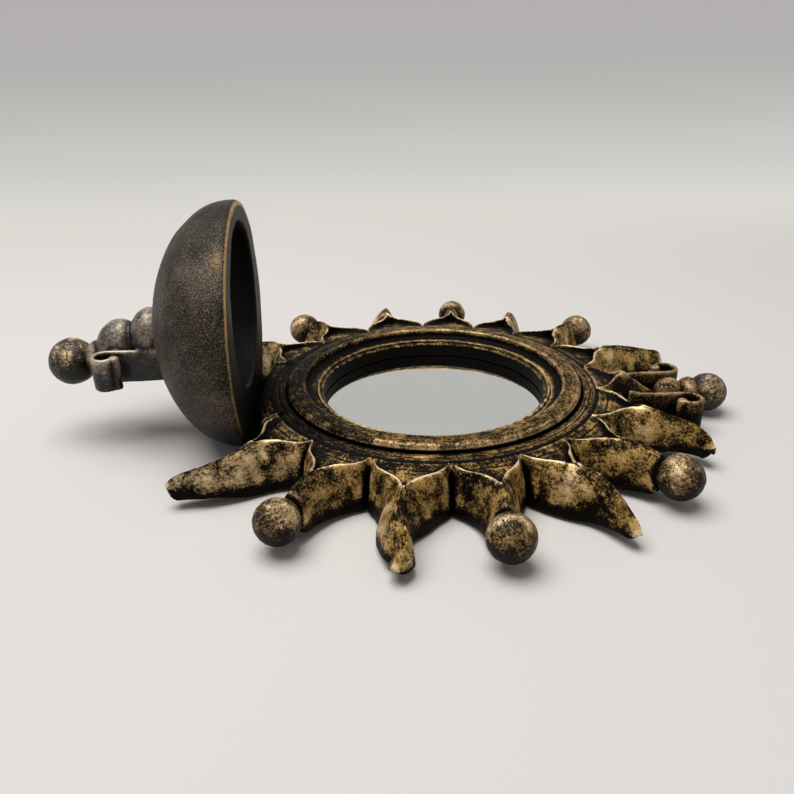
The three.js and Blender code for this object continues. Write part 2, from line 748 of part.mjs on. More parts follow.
// Floor between the plate and the bowl's rim, with the ends of the last two valleys on it.
function bowlSeat() {
  const halfAngle = THREE.MathUtils.degToRad(180 - valleyAngles[valleyAngles.length - 1]);
  const spread = Math.tan(halfAngle - fitGap / 2 / rayStart);
  const corner = rayStart * Math.cos(halfAngle);
  const stations = [corner - 2, corner, rayStart, -rimPlace - fitGap];
  const floors = [plateEdgeTop + 0.2, plateEdgeTop + 0.1, plateEdgeTop, seatFloor];
  const spurRise = armTop - plateEdgeTop;
  const half = [-1, ...spurTopShares.map((share) => -share).reverse(), -0.88, -spurInner];
  const shares = [...half, 0, ...half.map((share) => -share).reverse()];
  const rows = stations.map((out) => {
    const rise = readAlong(stations, [spurRise, spurRise, spurRise / 2, 0], out);
    const floor = readAlong(stations, floors, out);
    const halfWidth = Math.min(out * spread, seatHalfWidth);
    const top = shares.map((share) => {
      const height = spurTopShares.includes(Math.abs(share)) ? floor + rise : floor;
      return [out, share * halfWidth, height];
    });
    return { top, bottom: backOf(top, rayBack) };
  });
  const body = solidOf(turnAbout(closedRows(rows), 180));
  const plateRoom = solidOf(disc(rayStart, 0, bandTop + 5, 2 * roundSteps));
  return geometryOf(body.subtract(plateRoom).subtract(dowelHoles()));
}

// Screw from inside the bowl through its wall into the pendant.
function pendantScrew() {
  const length = pendantScrewHead - pendantScrewEnd;
  const form = turned([
    [0, -pendantHeadHeight],
    [pendantHeadRadius, -pendantHeadHeight],
    [pendantHeadRadius, 0],
    [pendantScrewRadius, 0],
    [pendantScrewRadius, length],
    [0, length + 0.6],
  ], 12);
  return form.rotateY(-Math.PI / 2).translate(pendantScrewHead, 0, pendantScrewHeight);
}

// ---- assembly ----

addPiece('base_plate', basePlate(), bronze);
addPiece('bezel_ring', bezelRing(), bronze);
addPiece('mirror_bead', mirrorBead(), bronze);

const glassBottom = glassTop - glassThickness;
const padTop = glassBottom - fitGap;
const boardTop = padTop - padThickness - fitGap;
addPiece('mirror_glass', disc(glassRadius, glassBottom, glassTop, roundSteps), silvered);
addPiece('mirror_pad', disc(glassRadius - 0.5, padTop - padThickness, padTop, roundSteps), felt);
const boardBottom = boardTop - boardThickness;
addPiece('backing_board', disc(glassRadius - 0.2, boardBottom, boardTop, roundSteps), hardboard);
addPiece('back_cover', backCover(), hardboard);
coverScrewPlaces().forEach(([x, y], i) => {
  addPiece(`cover_screw_${i + 1}`, screw(screwHeadSink, screwHeadHeight), steel).position.set(x, y, 0);
});

addPiece('wall_hanger', wallHanger(), steel);
const hangerHeadBottom = plateBack - 2 * fitGap - hangerThickness - hangerHeadHeight;
hangerScrewPlaces().forEach(([x, y], i) => {
  const hangerScrew = addPiece(`hanger_screw_${i + 1}`, screw(hangerHeadBottom, hangerHeadHeight), steel);
  hangerScrew.position.set(x, y, 0);
});

addRays();

addPiece('crest_finial', crestFinial(), bronze);
addPiece('crest_ball', crestPegBall(), bronze);

addPiece('bowl_seat', bowlSeat(), bronze);
addPiece('candle_bowl', candleBowl(), bowlBronze);
[1, -1].forEach((side, i) => {
  addPiece(`bowl_dowel_${i + 1}`, dowelRod(side, dowelRadius, 0), beech);
});
addPiece('pendant_finial', pendantFinial(), bronze);
addPiece('pendant_ball', pendantPegBall(), bronze);
addPiece('pendant_screw', pendantScrew(), steel);

export default mirrorAssembly;
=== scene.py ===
import bpy
import numpy as np
from mathutils import Matrix


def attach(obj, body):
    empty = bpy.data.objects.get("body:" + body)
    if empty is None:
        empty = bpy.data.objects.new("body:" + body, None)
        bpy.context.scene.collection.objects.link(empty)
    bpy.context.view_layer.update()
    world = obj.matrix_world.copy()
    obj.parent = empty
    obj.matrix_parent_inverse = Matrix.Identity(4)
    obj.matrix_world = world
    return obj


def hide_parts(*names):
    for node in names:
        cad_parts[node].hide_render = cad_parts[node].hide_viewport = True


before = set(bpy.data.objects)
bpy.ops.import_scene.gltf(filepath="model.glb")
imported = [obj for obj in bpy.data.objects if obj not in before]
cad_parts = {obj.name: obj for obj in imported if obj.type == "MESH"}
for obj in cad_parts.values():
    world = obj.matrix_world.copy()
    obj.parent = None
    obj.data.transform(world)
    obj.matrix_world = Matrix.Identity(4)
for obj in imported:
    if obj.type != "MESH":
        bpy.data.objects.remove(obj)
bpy.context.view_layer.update()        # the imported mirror, one object for each piece
mm = 0.001               # sizes below are in millimetres, as the real mirror was measured
print("frame loaded:", len(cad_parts), "nodes")


def smoothStep(value, low, high):
    # cubic blend: 0 up to low, 1 from high on
    share = np.clip((value - low) / (high - low), 0, 1)
    return share * share * (3 - 2 * share)


def lumps(points, size, seed, waves=14):
    # sum of sine waves in random directions, each about `size` long, range about -1 to 1
    source = np.random.default_rng(seed)
    directions = source.normal(size=(waves, 3))
    directions *= source.uniform(0.6, 1.5, (waves, 1)) / np.linalg.norm(directions, axis=1, keepdims=True)
    phases = source.uniform(0, 2 * np.pi, waves)
    return np.sin(points @ directions.T * (2 * np.pi / size) + phases).sum(-1) / np.sqrt(waves) / 1.4


def turned(points, degrees):
    # points turned about the mirror's axis
    angle = np.radians(degrees)
    x, y, z = np.moveaxis(points, -1, 0)
    return np.stack([x * np.cos(angle) - y * np.sin(angle), x * np.sin(angle) + y * np.cos(angle), z], -1)


def softened(values, passes, axis=0):
    # each pass replaces a value by a quarter, half, quarter mean of itself and its neighbours
    values = np.moveaxis(np.array(values, float), axis, 0)
    for _ in range(passes):
        values[1:-1] = 0.25 * values[:-2] + 0.5 * values[1:-1] + 0.25 * values[2:]
    return np.moveaxis(values, 0, axis)


def curveThrough(corners, places=None, samples=24):
    # centripetal Catmull-Rom curve through the corners, read at the given lengths along it
    corners = np.asarray(corners, float)
    ends = np.concatenate([[2 * corners[0] - corners[1]], corners, [2 * corners[-1] - corners[-2]]])
    before, start, stop, after = ends[:-3], ends[1:-2], ends[2:-1], ends[3:]
    gap = lambda a, b: np.sqrt(np.linalg.norm(b - a, axis=1, keepdims=True))
    g0, g1, g2 = gap(before, start), gap(start, stop), gap(stop, after)
    leave = ((start - before) / g0 - (stop - before) / (g0 + g1) + (stop - start) / g1) * g1
    reach = ((stop - start) / g1 - (after - start) / (g1 + g2) + (after - stop) / g2) * g1
    u = np.linspace(0, 1, samples, endpoint=False)[None, :, None]
    start, stop, leave, reach = (part[:, None, :] for part in (start, stop, leave, reach))
    line = (2 * u**3 - 3 * u**2 + 1) * start + (u**3 - 2 * u**2 + u) * leave
    line = line + (3 * u**2 - 2 * u**3) * stop + (u**3 - u**2) * reach
    line = np.concatenate([line.reshape(-1, corners.shape[1]), corners[-1:]])
    length = np.concatenate([[0], np.cumsum(np.linalg.norm(np.diff(line, axis=0), axis=1))])
    if places is None:
        return line, length
    return np.stack([np.interp(places, length, column) for column in line.T], 1)


def roundedLoop(corners, radius, spacing):
    # closed profile with every corner rounded by a short parabola, then spaced evenly
    corners = np.asarray(corners, float)
    before, after = np.roll(corners, 1, 0), np.roll(corners, -1, 0)
    reach = lambda other: np.minimum(radius / np.linalg.norm(other - corners, axis=1), 0.45)[:, None]
    start = corners + (before - corners) * reach(before)
    stop = corners + (after - corners) * reach(after)
    u = np.linspace(0, 1, 7)[None, :, None]
    line = (1 - u)**2 * start[:, None] + 2 * u * (1 - u) * corners[:, None] + u**2 * stop[:, None]
    line = line.reshape(-1, corners.shape[1])
    line = np.concatenate([line, line[:1]])
    length = np.concatenate([[0], np.cumsum(np.linalg.norm(np.diff(line, axis=0), axis=1))])
    places = np.linspace(0, length[-1], int(length[-1] / spacing), endpoint=False)
    return np.stack([np.interp(places, length, column) for column in line.T], 1)


def gridFaces(rowCount, columnCount, roundRows):
    # four-sided faces of a grid whose columns close on themselves, and its rows too if roundRows
    rows = np.arange(rowCount if roundRows else rowCount - 1)
    row, column = np.meshgrid(rows, np.arange(columnCount), indexing="ij")
    at = lambda r, c: ((r % rowCount) * columnCount + c % columnCount).ravel()
    return np.stack([at(row, column), at(row, column + 1), at(row + 1, column + 1), at(row + 1, column)], 1)


def tube(rings):
    # closed surface from rings of points, one ring a row, with a fan of triangles at each end
    rowCount, columnCount = rings.shape[:2]
    total = rowCount * columnCount
    points = np.concatenate([rings.reshape(-1, 3), [rings[0].mean(0)], [rings[-1].mean(0)]])
    ring = np.arange(columnCount)
    following = (ring + 1) % columnCount
    first = np.stack([np.full(columnCount, total), following, ring], 1)
    far = total - columnCount
    last = np.stack([np.full(columnCount, total + 1), far + ring, far + following], 1)
    return points, gridFaces(rowCount, columnCount, False), np.concatenate([first, last])


def lathe(profile, steps):
    # closed profile of radius and height, turned about the mirror's axis
    angle = np.linspace(0, 2 * np.pi, steps, endpoint=False)[:, None]
    radius, height = profile.T
    points = np.stack([radius * np.cos(angle), radius * np.sin(angle), height + 0 * angle], -1)
    return points.reshape(-1, 3), gridFaces(steps, len(profile), True), np.zeros((0, 3), int)


def ball(centre, radii, rows=40, columns=64):
    # ellipsoid: rings of latitude about its length along X
    polar = 0.02         # angle from the pole to the first ring, closed by a fan
    tilt = np.linspace(polar, np.pi - polar, rows)[:, None]
    angle = np.linspace(0, 2 * np.pi, columns, endpoint=False)
    along = -np.cos(tilt) + 0 * angle
    axes = np.stack([along, np.sin(tilt) * np.cos(angle), np.sin(tilt) * np.sin(angle)], -1)
    return tube(axes * np.asarray(radii, float) + np.asarray(centre, float))


def joined(surfaces):
    # several closed surfaces as one set of points and faces
    starts = np.cumsum([0] + [len(points) for points, _, _ in surfaces[:-1]])
    points = np.concatenate([surface[0] for surface in surfaces])
    quads = np.concatenate([surface[1] + start for surface, start in zip(surfaces, starts)])
    return points, quads, np.concatenate([surface[2] + start for surface, start in zip(surfaces, starts)])


def trianglesOf(quads, triangles):
    # every face as triangles: each four-sided one is cut along a diagonal
    return np.concatenate([quads[:, [0, 1, 2]], quads[:, [0, 2, 3]], triangles])


def normalsOf(points, triangles):
    # mean of the face normals round each point, larger faces counting more
    a, b, c = (points[triangles[:, corner]] for corner in range(3))
    face = np.cross(b - a, c - a)
    spread = lambda axis: sum(np.bincount(triangles[:, i], face[:, axis], len(points)) for i in range(3))
    normal = np.stack([spread(axis) for axis in range(3)], 1)
    return normal / np.maximum(np.linalg.norm(normal, axis=1, keepdims=True), 1e-9)


def neighbourMean(points, edges):
    # mean place of the points that share an edge with each point
    degree = np.bincount(edges.ravel(), minlength=len(points))
    gather = lambda axis: (np.bincount(edges[:, 0], points[edges[:, 1], axis], len(points))
                           + np.bincount(edges[:, 1], points[edges[:, 0], axis], len(points)))
    return np.stack([gather(axis) for axis in range(3)], 1) / np.maximum(degree, 1)[:, None]


def edgesOf(triangles):
    # every edge once, as a pair of points
    pairs = np.concatenate([triangles[:, [0, 1]], triangles[:, [1, 2]], triangles[:, [2, 0]]])
    return np.unique(np.sort(pairs, axis=1), axis=0)


def convexity(points, triangles, normals, reach):
    # how far a point stands out, along its normal, from the surface smoothed over the reach
    edges = edgesOf(triangles)
    meanEdge = np.linalg.norm(points[edges[:, 0]] - points[edges[:, 1]], axis=1).mean()
    rounds = int(np.clip((reach / meanEdge)**2, 3, 60))
    calm = points
    for _ in range(rounds):
        calm = neighbourMean(calm, edges)
    return ((points - calm) * normals).sum(1)


def outward(surface):
    # the same surface with its faces pointing outwards: the enclosed volume has to be positive
    points, quads, triangles = surface
    a, b, c = (points[trianglesOf(quads, triangles)[:, corner]] for corner in range(3))
    if (a * np.cross(b, c)).sum() < 0:
        return points, quads[:, ::-1], triangles[:, ::-1]
    return surface


def meshFrom(name, points, quads, triangles):
    points, quads, triangles = outward((points, quads, triangles))
    mesh = bpy.data.meshes.new(name)
    mesh.vertices.add(len(points))
    mesh.vertices.foreach_set("co", (points * mm).astype(np.float32).ravel())
    mesh.loops.add(quads.size + triangles.size)
    corners = np.concatenate([quads.ravel(), triangles.ravel()])
    mesh.loops.foreach_set("vertex_index", corners.astype(np.int32))
    sizes = np.concatenate([np.full(len(quads), 4), np.full(len(triangles), 3)])
    starts = np.concatenate([[0], np.cumsum(sizes)[:-1]])
    mesh.polygons.add(len(sizes))
    mesh.polygons.foreach_set("loop_start", starts.astype(np.int32))
    mesh.update(calc_edges=True)
    mesh.shade_smooth()
    return mesh


def addPiece(name, surface, finish, replaced, rough=(), grime=None, brush=None, wearAndHighlight=None,
             convexReach=1.6, convexHeight=0.22):
    # puts a closed surface into the scene, with relief along its normals and three attributes
    # for its finish: edge wear from convexity or the piece's own formula, which also paints a pale highlight
    # along ridges; a dark cover from its formula, mostly painted shade in hollows and under things, with some
    # dark paint and joints;
    # and "brushed", a place squeezed along the brush strokes so that noise there runs in streaks
    points, quads, triangles = outward(surface)
    corners = trianglesOf(quads, triangles)
    normals = normalsOf(points, corners)
    for number, (size, height) in enumerate(rough):
        relief = lumps(points, size, len(name) + 7 * number)
        offTheBack = smoothStep(points[:, 2], 0.3, 1.2)
        points = points + normals * (height * relief * offTheBack)[:, None]
    piece = bpy.data.objects.new(name, meshFrom(name, points, quads, triangles))
    bpy.context.scene.collection.objects.link(piece)
    if wearAndHighlight is None:
        # convexity: raised edges, where the gold wore through and where a pale highlight is painted
        worn = convexity(points, corners, normalsOf(points, corners), convexReach) / convexHeight
        worn = worn - np.median(worn)
    else:
        worn = wearAndHighlight(points)
    setAttribute(piece, "worn", np.clip(worn, -1, 1))
    setAttribute(piece, "grime", np.zeros(len(points)) if grime is None else np.clip(grime(points), 0, 1))
    brushed = piece.data.attributes.new("brushed", "FLOAT_VECTOR", "POINT")
    squeezed = (points if brush is None else brush(points)) * mm
    brushed.data.foreach_set("vector", squeezed.astype(np.float32).ravel())
    piece.data.materials.append(finish)
    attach(piece, "root")
    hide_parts(*replaced)
    return piece


def darkBelow(low, high, share=1):
    # the lower side of a piece is darker: painted shade, over black paint that the dry brush missed
    return lambda points: share * (1 - smoothStep(points[:, 2], low, high))


def setAttribute(piece, name, values):
    # one number for each point
    attribute = piece.data.attributes.new(name, "FLOAT", "POINT")
    attribute.data.foreach_set("value", values.astype(np.float32))


def fused(name, surfaces, voxel, calming):
    # closed surfaces melted into one skin by a voxel remesh, its steps then smoothed away
    points, quads, triangles = joined([outward(surface) for surface in surfaces])
    rough = bpy.data.objects.new(name + "_raw", meshFrom(name + "_raw", points, quads, triangles))
    bpy.context.scene.collection.objects.link(rough)
    remesh = rough.modifiers.new("melt", "REMESH")
    remesh.mode = "VOXEL"
    remesh.voxel_size = voxel * mm
    skin = rough.evaluated_get(bpy.context.evaluated_depsgraph_get()).to_mesh()
    found = np.empty(len(skin.vertices) * 3, np.float32)
    skin.vertices.foreach_get("co", found)
    corners = np.empty(len(skin.polygons) * 4, np.int32)
    skin.polygons.foreach_get("vertices", corners)
    points, quads = found.reshape(-1, 3).astype(float) / mm, corners.reshape(-1, 4)
    rough.to_mesh_clear()
    bpy.data.objects.remove(rough)
    edges = edgesOf(trianglesOf(quads, np.zeros((0, 3), int)))
    for _ in range(calming):
        points = 0.5 * points + 0.5 * neighbourMean(points, edges)
    return points, quads, np.zeros((0, 3), int)


class Signal:
    # a socket in an expression: arithmetic on it adds Math nodes
    def __init__(self, finish, socket):
        self.finish = finish
        self.socket = socket

    def __add__(self, other):
        return self.finish.math("ADD", self, other)

    def __radd__(self, other):
        return self.finish.math("ADD", other, self)

    def __sub__(self, other):
        return self.finish.math("SUBTRACT", self, other)

    def __rsub__(self, other):
        return self.finish.math("SUBTRACT", other, self)

    def __mul__(self, other):
        return self.finish.math("MULTIPLY", self, other)

    def __rmul__(self, other):
        return self.finish.math("MULTIPLY", other, self)

    def __truediv__(self, other):
        return self.finish.math("DIVIDE", self, other)

    def __abs__(self):
        return self.finish.math("ABSOLUTE", self)


class Finish:
    # one node tree, with one method that adds any node
    def __init__(self, tree):
        self.tree = tree
        tree.nodes.clear()

    def add(self, kind, settings=None, sockets=None, output=None):
        node = self.tree.nodes.new(kind)
        for key, value in (settings or {}).items():
            if key == "stops":
                self.setStops(node.color_ramp, value)
            else:
                setattr(node, key, value)
        for key, value in (sockets or {}).items():
            socket = self.find(node.inputs, key)
            if isinstance(value, Signal):
                self.tree.links.new(value.socket, socket)
            else:
                socket.default_value = value
        return Signal(self, self.find(node.outputs, output)) if node.outputs else node

    def find(self, sockets, key):
        if key is None:
            return sockets[0]
        if isinstance(key, int):
            return sockets[key]
        return next(s for s in sockets if key in (s.identifier, s.name))

    def setStops(self, ramp, stops):
        ramp.interpolation = "CARDINAL"
        while len(ramp.elements) < len(stops):
            ramp.elements.new(0.5)
        for element, (place, colour) in zip(ramp.elements, stops):
            element.position = place
            element.color = (*colour, 1)

    def math(self, operation, first, second=0.0):
        return self.add("ShaderNodeMath", {"operation": operation}, {0: first, 1: second})

    def noise(self, place, size, detail=3, roughness=0.55, distortion=0.0):
        # noise with lumps about `size` millimetres apart
        sockets = {"Vector": place, "Scale": 1 / (size * mm), "Detail": detail}
        sockets.update({"Roughness": roughness, "Distortion": distortion})
        return self.add("ShaderNodeTexNoise", None, sockets, "Fac")

    def bump(self, height, depth, strength):
        # relief as deep as `depth` millimetres
        sockets = {"Strength": strength, "Distance": depth * mm, "Height": height}
        return self.add("ShaderNodeBump", None, sockets)

    def step(self, value, low, high):
        return self.add("ShaderNodeMapRange", {"interpolation_type": "SMOOTHSTEP"},
                        {"Value": value, "From Min": low, "From Max": high}, "Result")

    def seenDirectly(self):
        # 1 for camera, glossy and transmission rays, 0 for the diffuse ones that carry the light
        path = self.tree.nodes.new("ShaderNodeLightPath")
        kinds = ("Is Camera Ray", "Is Glossy Ray", "Is Transmission Ray")
        camera, glossy, through = (Signal(self, path.outputs[kind]) for kind in kinds)
        return self.step(camera + glossy + through, 0, 1)

    def mix(self, share, first, second):
        first, second = ((*c, 1) if isinstance(c, tuple) else c for c in (first, second))
        return self.add("ShaderNodeMix", {"data_type": "RGBA"},
                        {"Factor_Float": share, "A_Color": first, "B_Color": second}, "Result_Color")


def newFinish(name):
    # an empty material, the tree that builds it, and the place on the object that patterns read
    material = bpy.data.materials.new(name)
    material.use_nodes = True
    finish = Finish(material.node_tree)
    return material, finish, finish.add("ShaderNodeTexCoord", None, None, "Object")


def surfaceOut(finish, sockets):
    # the shader with these sockets, joined to the output
    shader = finish.add("ShaderNodeBsdfPrincipled", None, sockets, "BSDF")
    finish.add("ShaderNodeOutputMaterial", None, {"Surface": shader})


patinaBase = {
    "patch": 6, "speckle": 0.66, "grain": 0.36, "stroke": 0.9,    # sizes of the pattern, mm
    "patchGain": 0.95, "speckleGain": 1.5, "strokeGain": 0.55, "wornGain": 0.36, "grimeGain": 0.62,
    "bias": -0.085, "edge": 0.24, "worm": 0.0, "wormSize": 1.6, "wornPale": 0.5,
    "dark": (0.0022, 0.0016, 0.001), "brown": (0.055, 0.032, 0.013),
    "deep": (0.62, 0.38, 0.11), "pale": (1.0, 0.76, 0.45), "grey": (0.6, 0.47, 0.31),
    # painted sheen: how much the gold turns grey towards the bowl, and where along X it starts and ends
    "tarnish": 0.7, "tarnishFrom": -0.015, "tarnishTo": -0.09,     # share, and where along X, m
    "metal": 0.45, "gloss": 0.05, "roughDark": 0.5, "roughGold": 0.42, "roughSpread": 0.16,
    "relief": 0.07, "bumpStrength": 0.85,
}


def patina(name, **changes):
    # near-black paint under gold that was brushed on dry: the gold holds where speckle, strokes,
    # patches and wear on high edges add up, and misses hollows and places under things, which also get
    # painted shade. High edges get a pale painted highlight. Towards the bowl a painted sheen turns it grey
    look = {**patinaBase, **changes}
    material, finish, place = newFinish(name)
    brushed = finish.add("ShaderNodeAttribute", {"attribute_name": "brushed"}, None, "Vector")
    worn = finish.add("ShaderNodeAttribute", {"attribute_name": "worn"}, None, "Fac")
    grime = finish.add("ShaderNodeAttribute", {"attribute_name": "grime"}, None, "Fac")
    worn = worn * (1 - grime)
    patches = finish.noise(place, look["patch"], 2)
    speckle = finish.noise(place, look["speckle"], 6, 0.7, 0.3)
    grain = finish.noise(place, look["grain"], 3, 0.6)
    strokes = finish.noise(brushed, look["stroke"], 3, 0.6)
    curls = finish.noise(place, look["wormSize"], 1.5, 0.5, 1.6)
    worms = finish.step(abs(curls - 0.5), 0.0, 0.06)              # 0 along thin curly lines
    cover = (speckle - 0.5) * look["speckleGain"] + (patches - 0.5) * look["patchGain"]
    cover = cover + (strokes - 0.5) * look["strokeGain"] + worn * look["wornGain"]
    # painted shade in hollows and under things, with some dark paint and joints, takes the gold away
    cover = cover - grime * look["grimeGain"] - (1 - worms) * look["worm"] + look["bias"]
    gold = finish.step(cover, -look["edge"], look["edge"])
    paint = finish.mix(finish.step(cover, -0.4, 0.05), look["dark"], look["brown"])
    along = finish.add("ShaderNodeSeparateXYZ", None, {"Vector": place}, "X")
    # painted sheen: the gold turns grey towards the bowl
    tarnish = finish.step(along, look["tarnishFrom"], look["tarnishTo"]) * look["tarnish"]
    metal = finish.mix(tarnish, look["deep"], look["grey"])
    # painted highlight: raised edges turn pale, with grain adding a random pale tone
    metal = finish.mix(finish.step(worn * look["wornPale"] + grain, 0.56, 1.0), metal, look["pale"])
    height = speckle * 0.6 + grain * 0.35 + gold * 0.25 + worms * look["worm"]
    roughness = look["roughDark"] + gold * (look["roughGold"] - look["roughDark"])
    roughness = roughness + (grain - 0.5) * look["roughSpread"]
    surfaceOut(finish, {
        "Base Color": finish.mix(gold, paint, metal),
        "Metallic": gold * look["metal"],
        "Roughness": roughness,
        "Specular IOR Level": look["gloss"],
        "Normal": finish.bump(height, look["relief"], look["bumpStrength"]),
    })
    return material


rayBronze = patina("ray_patina")
ringBronze = patina("ring_patina", strokeGain=0.8, stroke=0.7, patchGain=0.6, bias=-0.13, grimeGain=0.8,
                    deep=(0.46, 0.28, 0.09), tarnish=0.5)
plateBronze = patina("plate_patina", strokeGain=1.1, stroke=0.6, patchGain=0.6, bias=-0.16, grimeGain=0.8,
                     deep=(0.42, 0.25, 0.08), pale=(0.75, 0.55, 0.3), tarnish=0.4)
ballBronze = patina("ball_patina", worm=0.25, wormSize=1.4, bias=-0.09, relief=0.1, grimeGain=0.5, gloss=0.12,
                    deep=(0.4, 0.25, 0.1), roughDark=0.46, roughGold=0.48, tarnish=0.3)
darkBallBronze = patina("dark_ball_patina", worm=0.25, wormSize=1.4, bias=-0.2, relief=0.1, gloss=0.3,
                        deep=(0.36, 0.22, 0.09), roughDark=0.42, roughGold=0.46, tarnish=0.3)
finialBronze = patina("finial_patina", bias=-0.14, wornGain=0.2, deep=(0.36, 0.22, 0.085),
                      pale=(0.55, 0.38, 0.2))
bowlBronze = patina("bowl_patina", speckle=0.36, speckleGain=1.7, patchGain=0.4, patch=14, strokeGain=0.0,
                    bias=-0.14, edge=0.22, wornGain=0.6, wornPale=1.1, dark=(0.003, 0.0022, 0.0016),
                    brown=(0.028, 0.02, 0.014), deep=(0.26, 0.205, 0.15), grey=(0.27, 0.22, 0.17),
                    pale=(0.62, 0.37, 0.13), gloss=0.12, grimeGain=0.7, relief=0.09, tarnish=1.0)
pendantBronze = patina("pendant_patina", bias=-0.04, speckleGain=1.1, patchGain=0.6,
                       brown=(0.05, 0.041, 0.032), grey=(0.27, 0.21, 0.155), pale=(0.55, 0.45, 0.33),
                       tarnish=1.0, roughDark=0.36, roughGold=0.36, gloss=0.4, wornGain=0.34)
print("patinas made")


ringSet = {
    "steps": 300, "spacing": 0.3, "cornerRadius": 0.5,
    "profile": [(40.5, 12.8), (50.1, 12.8), (49.8, 14.6), (49.8, 15.5), (50.4, 16.1), (50.4, 16.6),
                (49.6, 17.7), (47.5, 18.1), (44.5, 18.1), (44.0, 17.4), (43.8, 15.9), (43.2, 15.2),
                (42.2, 14.9), (40.5, 14.8)],
}
beadSet = {
    "steps": 300, "spacing": 0.16, "cornerRadius": 0.3,
    "profile": [(38, 9.8), (40.2, 9.8), (40.2, 15.0), (39.9, 15.4), (39.4, 15.3), (39.15, 14.7), (38.8, 14.5),
                (38.4, 14.3), (38.05, 13.9)],
}
plateSet = {
    "steps": 300, "spacing": 0.22, "cornerRadius": 0.25,
    "profile": [(40.5, 2), (55.7, 2), (55.7, 15.15), (53, 15.4), (51.2, 15.4), (50.9, 15.0),
                (50.8, 12.5), (40.5, 12.5)],
}
# fine circles cut into the plate and into the floors between the rays, and the brush lines there
engravingSet = {"circles": [53.4, 59.4], "width": 0.24, "onPlate": 0.4, "onFloors": 0.5, "streak": 0.025}


def streaks(points):
    # shallow circular brush lines: waves over the radius that drift slowly with the angle
    radius = np.hypot(points[..., 0], points[..., 1])
    angle = np.arctan2(points[..., 1], points[..., 0])
    drift = np.sin(3 * angle + 0.4) + 0.6 * np.sin(7 * angle + 2)
    return 0.5 * np.sin(radius * 5.3 + 1.5 * drift) + 0.5 * np.sin(radius * 9.1 - 2.1 * drift + 1)


def roundStrokes(points):
    # brush strokes that run round the mirror: every circle is drawn in to one of 13 mm, so the
    # way round counts for a quarter of its length
    strokeCircle = 13
    x, y, z = points.T
    radius = np.hypot(x, y)
    return np.stack([strokeCircle * x / radius, strokeCircle * y / radius, radius + 0.8 * z], 1)


def engraving(points):
    # depth of the engraved circles, a narrow bell across each one
    radius = np.hypot(points[..., 0], points[..., 1]) + 0.12 * lumps(points, 9, 5)
    return sum(np.exp(-((radius - circle) / engravingSet["width"])**2) for circle in engravingSet["circles"])


def ringShade(points):
    # painted shade: the undercut below the outer edge and the cove inside the band are dark, and the side
    # towards the bowl a little, where the bowl's shadow falls
    radius, height = np.hypot(points[:, 0], points[:, 1]), points[:, 2]
    under = 1 - smoothStep(height, 15.5, 16.1)
    cove = (radius < 44.4) * (1 - smoothStep(height, 15.3, 17.4)) * smoothStep(radius, 41.6, 42.6)
    shade = 0.25 * (1 - smoothStep(points[:, 0], -45, -10))
    return np.maximum(np.maximum(under * (radius > 44.4), 0.7 * cove), shade)


def plateShadeAndJoint(points):
    # painted shade in the groove round the ring and the bowl's painted shadow below it, and a dark joint with
    # the rays
    radius = np.hypot(points[:, 0], points[:, 1])
    groove = 1 - smoothStep(radius, 50.9, 51.8)
    joint = 0.9 * smoothStep(radius, 54.9, 55.4)
    shade = 0.35 * (1 - smoothStep(points[:, 0], -45, -10))
    return np.maximum(np.maximum(groove, joint), shade)


def addRing():
    profile = roundedLoop(ringSet["profile"], ringSet["cornerRadius"], ringSet["spacing"])
    addPiece("bezelRing", lathe(profile, ringSet["steps"]), ringBronze, ["bezel_ring"],
             rough=[(7, 0.05), (1.8, 0.025)], brush=roundStrokes, grime=ringShade)
    profile = roundedLoop(beadSet["profile"], beadSet["cornerRadius"], beadSet["spacing"])
    addPiece("mirrorBead", lathe(profile, beadSet["steps"]), ringBronze, ["mirror_bead"],
             rough=[(5, 0.04), (1.4, 0.02)], convexReach=0.8, convexHeight=0.1, brush=roundStrokes,
             grime=darkBelow(13.2, 14.2))


def addPlate():
    profile = roundedLoop(plateSet["profile"], plateSet["cornerRadius"], plateSet["spacing"])
    points, quads, triangles = lathe(profile, plateSet["steps"])
    upper = smoothStep(points[:, 2], 15, 15.1)
    lines = engravingSet["streak"] * streaks(points) - engravingSet["onPlate"] * engraving(points)
    points[:, 2] += upper * lines
    addPiece("basePlate", (points, quads, triangles), plateBronze, ["base_plate"],
             rough=[(4, 0.05)], brush=roundStrokes, grime=plateShadeAndJoint)


addRing()
addPlate()
print("ring, bead and plate made")


